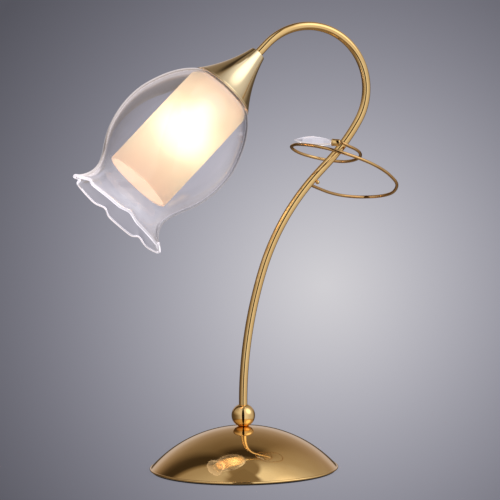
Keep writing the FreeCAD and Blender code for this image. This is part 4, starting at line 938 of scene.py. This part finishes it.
def dome_profile(wall):
    """The dome's sheet with its rolled rim, from the stem's hole out and back."""
    rise = DOME_TOP - DOME_RIM_HEIGHT
    radius = (DOME_RIM_RADIUS ** 2 + rise ** 2) / (2 * rise)
    centre = DOME_TOP - radius
    hole = STEM_HOLE
    bead = RIM_BEAD_RADIUS
    bead_centre = (BASE_RADIUS - bead, DOME_RIM_HEIGHT)
    outer = []
    last = math.asin(DOME_RIM_RADIUS / radius)
    steps = 110
    first = math.asin(hole / radius)
    for k in range(steps + 1):
        angle = first + (last - first) * k / steps
        spot = (radius * math.sin(angle), centre + radius * math.cos(angle))
        if math.dist(spot, bead_centre) > bead:
            outer.append(spot)
    entry = math.degrees(math.atan2(outer[-1][1] - bead_centre[1], outer[-1][0] - bead_centre[0]))
    rim = arc(bead_centre, bead, entry - 4.0, -150.0, 20)
    inside = []
    last = math.asin((DOME_RIM_RADIUS - wall) / (radius - wall))
    first = math.asin(hole / (radius - wall))
    for k in range(60):
        angle = last + (first - last) * k / 59
        inside.append(((radius - wall) * math.sin(angle),
                       centre + (radius - wall) * math.cos(angle)))
    return outer + rim + inside, radius, centre


def sphere_normals(mesh, centre, radius):
    """Give the loops on a sphere the sphere's own normals, and leave the others."""
    mesh.validate()
    normals = [tuple(corner.vector) for corner in mesh.corner_normals]
    for face in mesh.polygons:
        for loop in face.loop_indices:
            spoke = mesh.vertices[mesh.loops[loop].vertex_index].co - centre
            if abs(spoke.length - radius) < 2e-5 and face.normal.dot(spoke.normalized()) > 0.99:
                normals[loop] = tuple(spoke.normalized())
    mesh.normals_split_custom_set(normals)


class LAMP_OT_base(bpy.types.Operator):
    """Spun dome with a rolled rim, and the ball on top of it"""
    bl_idname = "lamp.base"
    bl_label = "Base and ball"

    def execute(self, context):
        sizes = context.scene.lamp_sizes
        points, radius, centre = dome_profile(sizes.dome_wall / MM)
        dome = shaped("dome", profile_mesh("dome_profile", points, True), turned_form(),
                      Steps=sizes.steps * 2, Material=brass())
        tidy_mesh(dome.data, 24.0)
        self.cut_bushing_hole(dome)
        sphere_normals(dome.data, Vector((0.0, 0.0, centre * MM)), radius * MM)
        kept(dome, "lamp", "polished_brass", "base_dome")
        ball = sizes.ball_diameter / MM / 2
        low = -90.0 + math.degrees(math.asin(BALL_FOOT / ball))
        high = 90.0 - math.degrees(math.asin(STEM_HOLE / ball))
        sphere = arc((0.0, BALL_CENTRE), ball, low, high, 72)
        foot = (STEM_HOLE, DOME_TOP - STEM_HOLE ** 2 / (2 * radius))
        turned_piece("ball", [foot] + eased(sphere, 0.3, closed=False), Matrix(), "polished_brass",
                     "lamp", "base_ball")
        return {"FINISHED"}

    def cut_bushing_hole(self, dome):
        """The hole at the back of the dome that the flex bushing sits in."""
        tool = bpy.data.meshes.new("hole_tool")
        work = bmesh.new()
        turn = Matrix.Rotation(math.radians(90.0), 4, "X")
        place = Matrix.Translation(Vector((0.0, BUSHING_PLACE, BUSHING_HEIGHT)) * MM)
        bmesh.ops.create_cone(work, cap_ends=True, segments=48, radius1=BUSHING_HOLE * MM,
                              radius2=BUSHING_HOLE * MM, depth=30.0 * MM, matrix=place @ turn)
        work.to_mesh(tool)
        work.free()
        cutter = new_object("hole_tool", tool)
        cut = dome.modifiers.new("hole", "BOOLEAN")
        cut.operation = "DIFFERENCE"
        cut.solver = "EXACT"
        cut.object = cutter
        evaluated = dome.evaluated_get(bpy.context.evaluated_depsgraph_get())
        mesh = bpy.data.meshes.new_from_object(evaluated)
        dome.modifiers.remove(cut)
        bpy.data.objects.remove(cutter)
        dome.data = mesh


# ---- stem and curl ----------------------------------------------------------

class LAMP_OT_stem(bpy.types.Operator):
    """Bent tube from the base over the hook into the cone"""
    bl_idname = "lamp.stem"
    bl_label = "Stem"

    def execute(self, context):
        sizes = context.scene.lamp_sizes
        count = round(stem_length() / 1.6)
        points = [stem_at(stem_length() * k / count)[0] for k in range(count + 1)]
        stem = shaped("stem", line_mesh("stem_line", points), swept_bar(), Sides=64, Capped=False,
                      Radius=sizes.stem_diameter / 2 - FACET, Material=brass())
        tidy_mesh(stem.data)
        wall = stem.modifiers.new("wall", "SOLIDIFY")
        wall.thickness = sizes.stem_wall
        wall.offset = -1.0
        kept(stem, "lamp", "polished_brass", "stem_tube")
        return {"FINISHED"}


def curl_points():
    place, side = out_of_stem(CURL_START_ALONG, 0.0)
    leaf_way = (LEAF_TIP - LEAF_ROOT).normalized()
    points = [place + side * (STEM_RADIUS / 2)] + [Vector(point) for point in CURL_ROUTE]
    points.append(LEAF_ROOT - leaf_way * (LEAF_CAP_LENGTH + LEAF_CAP_LEAD))
    next_way = circle_tangent(*points[0:3])
    first = (2 * (points[1] - points[0]).normalized() - next_way).normalized()
    path = smooth_path(points, first, leaf_way, 14)
    return path + [path[-1] + leaf_way * 1.5, path[-1] + leaf_way * 3.0]


class LAMP_OT_curl(bpy.types.Operator):
    """Curled wire round the stem, and the ball-headed pin beside its joint"""
    bl_idname = "lamp.curl"
    bl_label = "Curl"

    def execute(self, context):
        sizes = context.scene.lamp_sizes
        # the curl's wire takes the darker copy of the brass, which is painted shade
        wire = shaped("curl", line_mesh("curl_line", curl_points()), swept_bar(), Sides=32,
                      Radius=sizes.curl_diameter / 2 - FACET, Material=brass_painted_darker())
        tidy_mesh(wire.data, 50.0)
        kept(wire, "lamp", "polished_brass", "curl_wire")
        place, side = out_of_stem(PIN_ALONG, PIN_AROUND)
        turn = UP.rotation_difference(side).to_matrix().to_4x4()
        seat = Matrix.Translation((place + side * STEM_RADIUS) * MM) @ turn
        low = -90.0 + math.degrees(math.asin(PIN_SHANK / PIN_RADIUS))
        head = arc((0.0, PIN_SEAT), PIN_RADIUS, low, 90.0, 24)
        shank = [(0.0, -PIN_DEPTH), (PIN_SHANK, -PIN_DEPTH)]
        turned_piece("curl_pin_ball", shank + head, seat, "polished_brass", "lamp", "curl_pin",
                     closed=False)
        return {"FINISHED"}


class LAMP_OT_leaf(bpy.types.Operator):
    """Cut crystal leaf in its ferrule at the end of the curl"""
    bl_idname = "lamp.leaf"
    bl_label = "Crystal leaf"

    def execute(self, context):
        sizes = context.scene.lamp_sizes
        length = (LEAF_TIP - LEAF_ROOT).length * MM
        half_width = sizes.leaf_width / 2
        half_thickness = sizes.leaf_thickness / 2
        work = bmesh.new()
        rings = []
        for station, wide, thick in LEAF_CUTS:
            w, t, z = half_width * wide, half_thickness * thick, length * station
            ridge = w * LEAF_RIDGE
            ring = ((w, 0), (ridge, t), (-ridge, t), (-w, 0), (-ridge, -t), (ridge, -t))
            rings.append([work.verts.new((x, y, z)) for x, y in ring])
        for low, high in zip(rings, rings[1:]):
            for i in range(6):
                j = (i + 1) % 6
                work.faces.new((low[i], low[j], high[j], high[i]))
        work.faces.new(rings[0][::-1])
        work.faces.new(rings[-1])
        bmesh.ops.recalc_face_normals(work, faces=work.faces)
        edges = [edge for edge in work.edges if edge.calc_face_angle(0.0) > math.radians(4.0)]
        bmesh.ops.bevel(work, geom=edges, offset=LEAF_BEVEL * MM, segments=1, affect="EDGES")
        bmesh.ops.create_cone(
            work, cap_ends=True, segments=32, radius1=LEAF_GRIP * MM,
            radius2=LEAF_GRIP * MM, depth=LEAF_GRIP * MM,
            matrix=Matrix.Translation((0.0, 0.0, -LEAF_GRIP / 2 * MM)))
        mesh = bpy.data.meshes.new("crystal_leaf_cut")
        work.to_mesh(mesh)
        work.free()
        mesh.transform(leaf_matrix())
        leaf = new_object("crystal_leaf_cut", mesh)
        mesh.materials.append(crystal())
        kept(leaf, "lamp", "crystal", "crystal_leaf")
        outside, grip, socket, back = 3.0, 2.5, 1.45, -LEAF_CAP_LENGTH
        cap = [(socket, back), (outside - 0.9, back), (outside - 0.25, back + 0.5),
               (outside, back + 1.4), (outside, -1.2), (outside + 0.12, -0.9), (outside + 0.12, -0.3),
               (outside - 0.1, 0.0), (grip, 0.0), (grip, -LEAF_GRIP), (0.0, -LEAF_GRIP),
               (0.0, back + LEAF_GRIP), (socket, back + LEAF_GRIP)]
        turned_piece("leaf_ferrule", eased(cap, 0.15), leaf_matrix(), "polished_brass", "lamp",
                     "leaf_cap")
        return {"FINISHED"}


# ---- head -------------------------------------------------------------------

def cone_profile():
    """The flared cup, closed round the stem at its top."""
    top = Vector((CONE_TOP_RADIUS, CONE_CROWN))
    rim = Vector((CONE_RIM_RADIUS, CONE_LENGTH))
    chord = rim - top
    inwards = Vector((-chord.y, chord.x)).normalized()
    # circle through both ends whose middle is drawn in by the flare
    radius = (chord.length ** 2 / 4 + CONE_FLARE ** 2) / (2 * CONE_FLARE)
    centre = (top + rim) / 2 - inwards * (radius - CONE_FLARE)

    def side(size, start, end, steps):
        stations = [start + (end - start) * k / steps for k in range(steps + 1)]
        return [(centre.x - math.sqrt(size ** 2 - (s - centre.y) ** 2), s) for s in stations]

    lip = CONE_LENGTH - CONE_LIP
    outer = side(radius, CONE_CROWN, lip - 0.35, 60)
    groove = [(side(radius + 0.22, lip, lip, 1)[0][0], lip)]
    edge = side(radius - 0.10, lip + 0.35, CONE_LENGTH, 3)
    inner = side(radius + CONE_WALL, CONE_LENGTH, CONE_BOSS, 40)
    crown = [(STEM_HOLE, 0.0), (6.15, 0.0), (6.68, 0.22)]
    bore = [(CONE_THREAD, CONE_BOSS), (CONE_THREAD, CONE_LIP), (STEM_HOLE, CONE_LIP)]
    return eased(crown + outer + groove + edge + inner + bore, 0.3)


class LAMP_OT_cone(bpy.types.Operator):
    """Flared brass cup that holds the shade"""
    bl_idname = "lamp.cone"
    bl_label = "Cone"

    def execute(self, context):
        # the cone takes the paler copy of the brass, which is painted light
        turned_piece("cone", cone_profile(), head_matrix(0.0), "polished_brass", "lamp",
                     "cone_cup", crease=40.0, material=brass_painted_paler())
        return {"FINISHED"}


def tulip_profile(wall, bead):
    """The glass's section and, for each point, its share of the notches and of the bead."""
    outline = [Vector(point) for point in TULIP_OUTLINE]
    last_way = Vector((1.0, 0.8)).normalized()
    outer = smooth_path(outline, Vector((1.0, 0.0)), last_way, 8)
    # the bead's end reaches the mouth, so the sheet stops short of it
    reach = bead * 1.2
    while (outer[-1] - outline[-1]).length < reach:
        outer.pop()
    ways = [circle_tangent(*outer[max(0, i - 1):i + 2]) if 0 < i < len(outer) - 1 else None
            for i in range(len(outer))]
    ways[0], ways[-1] = Vector((1.0, 0.0)), last_way
    inner = [spot + Vector((-way.y, way.x)) * wall for spot, way in zip(outer, ways)]
    middle = (outer[-1] + inner[-1]) / 2 + last_way * (bead * 0.6)
    turn = math.degrees(math.atan2(last_way.y, last_way.x))
    rim = arc(middle, bead, turn - 125.0, turn + 125.0, 14)
    points = [(GLASS_HOLE, TULIP_TOP)] + [tuple(spot) for spot in outer] + rim
    points += [tuple(spot) for spot in reversed(inner)] + [(GLASS_HOLE, TULIP_TOP + wall)]

    def share(station):
        return max(0.0, min(1.0, (station - TULIP_NECK) / (TULIP_MOUTH - TULIP_NECK))) ** 1.5

    outer_lips = [share(spot.y) for spot in outer]
    rim_lips = [share(TULIP_MOUTH)] * len(rim)
    lips = [0.0] + outer_lips + rim_lips + outer_lips[::-1] + [0.0]
    beads = [0.0] * (1 + len(outer)) + [1.0] * len(rim) + [0.0] * (len(outer) + 1)
    return points, lips, beads


class LAMP_OT_tulip(bpy.types.Operator):
    """Blown tulip glass with six petals and a fire-polished edge"""
    bl_idname = "lamp.tulip"
    bl_label = "Tulip glass"

    def execute(self, context):
        sizes = context.scene.lamp_sizes
        points, lips, beads = tulip_profile(sizes.tulip_wall / MM, sizes.tulip_bead / MM)
        profile = profile_mesh("tulip_profile", points, True, lip=lips, bead=beads)
        glass = shaped("tulip_glass", profile, petal_form(), Steps=360, Notch_in=sizes.notch_in,
                       Notch_back=sizes.notch_back, Sharpness=6.0, Droop=TULIP_DROOP * MM,
                       Droop_start=TULIP_DROOP_START * MM, Mouth=TULIP_MOUTH * MM,
                       Out_of_square=math.tan(math.radians(TULIP_OUT_OF_SQUARE)),
                       Material=clear_glass())
        glass.data.transform(head_matrix(CONE_LENGTH))
        tidy_mesh(glass.data, 60.0)
        kept(glass, "lamp", "clear_glass", "tulip_shade")
        return {"FINISHED"}


class LAMP_OT_cylinder(bpy.types.Operator):
    """Frosted cylinder round the bulb, open at its lower end"""
    bl_idname = "lamp.cylinder"
    bl_label = "Frosted cylinder"

    def execute(self, context):
        wall = context.scene.lamp_sizes.frosted_wall / MM
        outside = FROST_RADIUS
        bend = FROST_SHOULDER
        under = FROST_TOP + FROST_TOP_THICKNESS
        points = [(GLASS_HOLE, FROST_TOP)]
        points += arc((outside - bend, FROST_TOP + bend), bend, -90.0, 0.0, 16)
        points += [(outside, 40.0), (outside, 80.0)]
        points += arc((outside - wall / 2, FROST_END - wall / 2), wall / 2, 0.0, 180.0, 10)
        points += [(outside - wall, 80.0), (outside - wall, 40.0)]
        points += arc((outside - bend, under + bend - wall), bend - wall, 0.0, -90.0, 12)
        points += [(GLASS_HOLE, under)]
        turned_piece("frosted_cylinder_blown", points, head_matrix(CONE_LENGTH), "frosted_glass",
                     "lamp", "frosted_cylinder", crease=50.0)
        return {"FINISHED"}


class LAMP_OT_bulb(bpy.types.Operator):
    """Round opal bulb, lit"""
    bl_idname = "lamp.bulb"
    bl_label = "Bulb"

    def execute(self, context):
        ball = arc((0.0, BULB_CENTRE), BULB_RADIUS, 90.0, BULB_JOIN, 60)
        throat = smooth_path([Vector(ball[-1]), Vector((9.6, 26.4)),
                              Vector((BULB_NECK, 20.6))],
                             Vector((-0.77, -0.64)), Vector((0.0, -1.0)), 8)
        outside = ball + [tuple(spot) for spot in throat[1:]]
        outside.append((BULB_NECK, BULB_NECK_END))
        bore = BULB_NECK - BULB_WALL
        inside = [(bore, BULB_NECK_END), (bore, BULB_NECK_END + 5.0)]
        inside += arc((0.0, BULB_CENTRE), BULB_RADIUS - BULB_WALL, BULB_JOIN, 90.0, 40)
        turned_piece("bulb", outside + inside, head_matrix(CONE_LENGTH), "bulb_frosted", "bulb",
                     "bulb_glass", closed=False, crease=60.0)
        return {"FINISHED"}


# ---- inner parts -----------------------------------------------------------

class LAMP_OT_inner(bpy.types.Operator):
    """Finishes of the weight, holder, wiring and the other parts taken over from the frame"""
    bl_idname = "lamp.inner"
    bl_label = "Inner parts"

    def execute(self, context):
        record = frame["record"]
        slots = {}
        for part in record["subparts"]:
            slots[part["node"]] = part["material_slot"]
        for name, node in frame["nodes"].items():
            node.data.materials.clear()
            node.data.materials.append(finish_for(slots[name]))
        return {"FINISHED"}


# ---- studio -----------------------------------------------------------------

def view_frame():
    """The camera's right, up and back directions."""
    turn = math.radians(CAMERA_TURN)
    rise = math.radians(CAMERA_RISE)
    roll = math.radians(CAMERA_ROLL)
    back = Vector((math.sin(turn) * math.cos(rise), -math.cos(turn) * math.cos(rise),
                   math.sin(rise)))
    right = Vector((math.cos(turn), math.sin(turn), 0.0))
    up = back.cross(right)
    return (right * math.cos(roll) - up * math.sin(roll),
            up * math.cos(roll) + right * math.sin(roll), back)


class LAMP_OT_studio(bpy.types.Operator):
    """Pale floor, the light of a studio round it, and the camera"""
    bl_idname = "lamp.studio"
    bl_label = "Studio"

    def execute(self, context):
        self.floor()
        self.room(context.scene)
        self.key_light(context.scene)
        self.camera(context.scene)
        context.scene.view_settings.view_transform = "Standard"
        return {"FINISHED"}

    def floor(self):
        """A wide floor with a painted pool of light on it, lightest behind the lamp."""
        mesh = bpy.data.meshes.new("floor")
        work = bmesh.new()
        bmesh.ops.create_circle(work, cap_ends=True, segments=64, radius=60.0)
        work.to_mesh(mesh)
        work.free()
        mesh.transform(Matrix.Translation((0.0, 0.0, -0.0002)))
        floor = new_object("floor", mesh)
        material = bpy.data.materials.new("painted_floor")
        material.use_nodes = True
        material.node_tree.nodes.clear()
        graph = Graph(material.node_tree)
        place = graph.add("ShaderNodeTexCoord").outputs["Object"]
        right, up, back = view_frame()
        beam = (right * 0.025 - up * 0.0117 - back).normalized()
        throw = graph.add("ShaderNodeVectorMath", {0: place, 1: CAMERA_PLACE},
                          operation="SUBTRACT").outputs[0]
        aside = graph.add("ShaderNodeVectorMath", {0: throw, 1: beam}, operation="CROSS_PRODUCT")
        aside = graph.add("ShaderNodeVectorMath", {0: aside.outputs[0]}, operation="LENGTH")
        along = graph.add("ShaderNodeVectorMath", {0: throw, 1: beam}, operation="DOT_PRODUCT")
        spread = graph.math("DIVIDE", aside.outputs["Value"],
                            graph.math("MAXIMUM", along.outputs["Value"], 0.01))
        fade = graph.math("POWER", graph.math("DIVIDE", spread, POOL_WIDTH), POOL_POWER)
        fade = graph.math("EXPONENT", graph.math("MULTIPLY", fade, -1.0))
        fade = graph.math("MAXIMUM", fade, POOL_LEAST)
        tone = graph.add("ShaderNodeMixRGB", {
            "Fac": fade, "Color1": rgba(POOL_EDGE), "Color2": rgba(POOL_MIDDLE)}).outputs[0]
        pool = graph.add("ShaderNodeVectorMath", {0: tone, "Scale": fade},
                         operation="SCALE").outputs[0]
        # the painted pool glows on its own, with a little diffuse kept so that the lamp's shadow
        # still shows
        glow = graph.add("ShaderNodeEmission", {"Color": pool, "Strength": 0.95})
        paint = graph.add("ShaderNodeBsdfDiffuse", {"Color": pool})
        share = graph.add("ShaderNodeMixShader", {0: 0.09, 2: paint.outputs[0]})
        lit = graph.add("ShaderNodeAddShader", {0: glow.outputs[0], 1: share.outputs[0]})
        pale = graph.add("ShaderNodeBsdfDiffuse", {"Color": rgba((0.6, 0.6, 0.62))})
        path = graph.add("ShaderNodeLightPath")
        seen = graph.math("MAXIMUM", path.outputs["Is Camera Ray"],
                          path.outputs["Is Transmission Ray"])
        shown = graph.add("ShaderNodeMixShader", {
            0: seen, 1: pale.outputs[0], 2: lit.outputs[0]})
        # the studio's low light boxes stand in front of the floor in a reflection,
        # and the floor isn't seen from below
        clear = graph.add("ShaderNodeBsdfTransparent")
        side = graph.add("ShaderNodeNewGeometry").outputs["Backfacing"]
        mirrored = graph.math("GREATER_THAN", path.outputs["Is Glossy Ray"],
                              path.outputs["Is Transmission Ray"])
        gone = graph.math("MAXIMUM", mirrored, side)
        whole = graph.add("ShaderNodeMixShader", {
            0: gone, 1: shown.outputs[0], 2: clear.outputs[0]})
        graph.add("ShaderNodeOutputMaterial", {"Surface": whole.outputs[0]})
        mesh.materials.append(material)

    def room(self, scene):
        """Light boxes to the left and right of the camera, drawn in the world's light."""
        studio = scene.lamp_studio
        world = bpy.data.worlds.new("room")
        world.use_nodes = True
        world.node_tree.nodes.clear()
        graph = Graph(world.node_tree)
        way = graph.add("ShaderNodeTexCoord").outputs["Generated"]
        turned = graph.add("ShaderNodeMapping", {
            "Vector": way, "Rotation": (0.0, 0.0, math.radians(-CAMERA_TURN))})
        split = graph.add("ShaderNodeSeparateXYZ", {0: turned.outputs[0]}).outputs
        ahead = graph.math("MULTIPLY", split["Y"], -1.0)
        turn = graph.math("ARCTAN2", split["X"], ahead)
        rise = graph.math("ARCSINE", split["Z"])

        def by_turn(stops):
            share = graph.math("ADD", graph.math("DIVIDE", turn, 2 * math.pi), 0.5)
            return ramp(graph, share, [((at + 180.0) / 360.0, (tone,) * 3) for at, tone in stops])

        def by_rise(stops):
            share = graph.math("ADD", graph.math("DIVIDE", rise, math.pi), 0.5)
            return ramp(graph, share, [((at + 90.0) / 180.0, (tone,) * 3) for at, tone in stops])

        def blend(share, first, second, how="MIX"):
            return graph.add("ShaderNodeMixRGB", {
                "Fac": share, "Color1": first, "Color2": second}, blend_type=how).outputs[0]

        sides = blend(by_rise(LIFT), by_turn(LOW_SIDES), by_turn(SIDES))
        around = blend(by_rise(CEILING), rgba((0.27,) * 3), sides)
        above_camera = graph.math("MULTIPLY", by_turn(FRONT), by_rise(FRONT_TOP))
        around = blend(above_camera, around, rgba((0.24,) * 3))
        behind = by_turn(BEHIND)
        corner = graph.math("MULTIPLY", behind, by_rise(DARK_CORNER))
        around = blend(corner, around, rgba((0.02,) * 3))
        at, lift = (math.radians(angle) for angle in HOT_SPOT)
        spot = Vector((math.sin(at) * math.cos(lift), -math.cos(at) * math.cos(lift),
                       math.sin(lift)))
        near = graph.add("ShaderNodeVectorMath", {0: turned.outputs[0], 1: spot},
                         operation="DOT_PRODUCT").outputs["Value"]
        hot = graph.add("ShaderNodeMapRange", {
            "Value": near, "From Min": 0.86, "From Max": 0.985, "To Max": 1.0},
            interpolation_type="SMOOTHSTEP").outputs[0]
        around = blend(1.0, around, hot, "ADD")
        around = blend(graph.math("MULTIPLY", behind, by_rise(BACKDROP)), around,
                       rgba(studio.backdrop_light))
        # the dimmer a part of the room is, the warmer it looks
        level = graph.add("ShaderNodeRGBToBW", {0: around}).outputs[0]
        light = blend(1.0, around, ramp(graph, level, WARMTH), "MULTIPLY")
        path = graph.add("ShaderNodeLightPath").outputs["Is Camera Ray"]
        seen = graph.add("ShaderNodeMixRGB", {
            "Fac": path, "Color1": light, "Color2": rgba(studio.backdrop_dark)}).outputs[0]
        shade = graph.add("ShaderNodeBackground", {"Color": seen, "Strength": 1.0})
        graph.add("ShaderNodeOutputWorld", {"Surface": shade.outputs[0]})
        scene.world = world

    def key_light(self, scene):
        """A wide soft light above the camera's left shoulder."""
        light = bpy.data.lights.new("key", "AREA")
        light.shape = "SQUARE"
        light.size = 1.6
        light.energy = scene.lamp_studio.key_power
        lamp = bpy.data.objects.new("key_light", light)
        scene.collection.objects.link(lamp)
        lamp.location = (-1.1, -1.2, 1.9)
        lamp.rotation_euler = Vector(lamp.location).to_track_quat("Z", "Y").to_euler()
        lamp.visible_glossy = False
        lamp.visible_transmission = False
        lamp.visible_camera = False

    def camera(self, scene):
        right, up, back = view_frame()
        data = bpy.data.cameras.new("camera")
        data.lens = CAMERA_LENS
        data.sensor_width = 36.0
        camera = bpy.data.objects.new("camera", data)
        scene.collection.objects.link(camera)
        camera.matrix_world = Matrix.Translation(CAMERA_PLACE) @ Matrix(
            (right, up, back)).transposed().to_4x4()
        scene.camera = camera


# ---- add-on -----------------------------------------------------------------

OPERATORS = (
    LAMP_OT_studio, LAMP_OT_inner, LAMP_OT_base, LAMP_OT_stem, LAMP_OT_curl, LAMP_OT_leaf,
    LAMP_OT_cone, LAMP_OT_tulip, LAMP_OT_cylinder, LAMP_OT_bulb,
)


class LAMP_PT_parts(bpy.types.Panel):
    """The lamp's pieces"""
    bl_idname = "LAMP_PT_parts"
    bl_label = "Tulip shade table lamp"
    bl_space_type = "VIEW_3D"
    bl_region_type = "UI"
    bl_category = "Lamp"

    def draw(self, context):
        column = self.layout.column()
        for operator in OPERATORS:
            column.operator(operator.bl_idname)
        for group in settings():
            for label in group.bl_rna.properties.keys():
                if label not in ("rna_type", "name"):
                    column.prop(group, label)


GROUPS = (LampSizes, LampColours, LampStudio)
CLASSES = GROUPS + OPERATORS + (LAMP_PT_parts,)


def register():
    for each in CLASSES:
        bpy.utils.register_class(each)
    bpy.types.Scene.lamp_sizes = PointerProperty(type=LampSizes)
    bpy.types.Scene.lamp_colours = PointerProperty(type=LampColours)
    bpy.types.Scene.lamp_studio = PointerProperty(type=LampStudio)


def unregister():
    del bpy.types.Scene.lamp_studio
    del bpy.types.Scene.lamp_colours
    del bpy.types.Scene.lamp_sizes
    for each in reversed(CLASSES):
        bpy.utils.unregister_class(each)


def main():
    register()
    for operator in OPERATORS:
        group, name = operator.bl_idname.split(".")
        getattr(getattr(bpy.ops, group), name)()


if __name__ == "__main__":
    main()
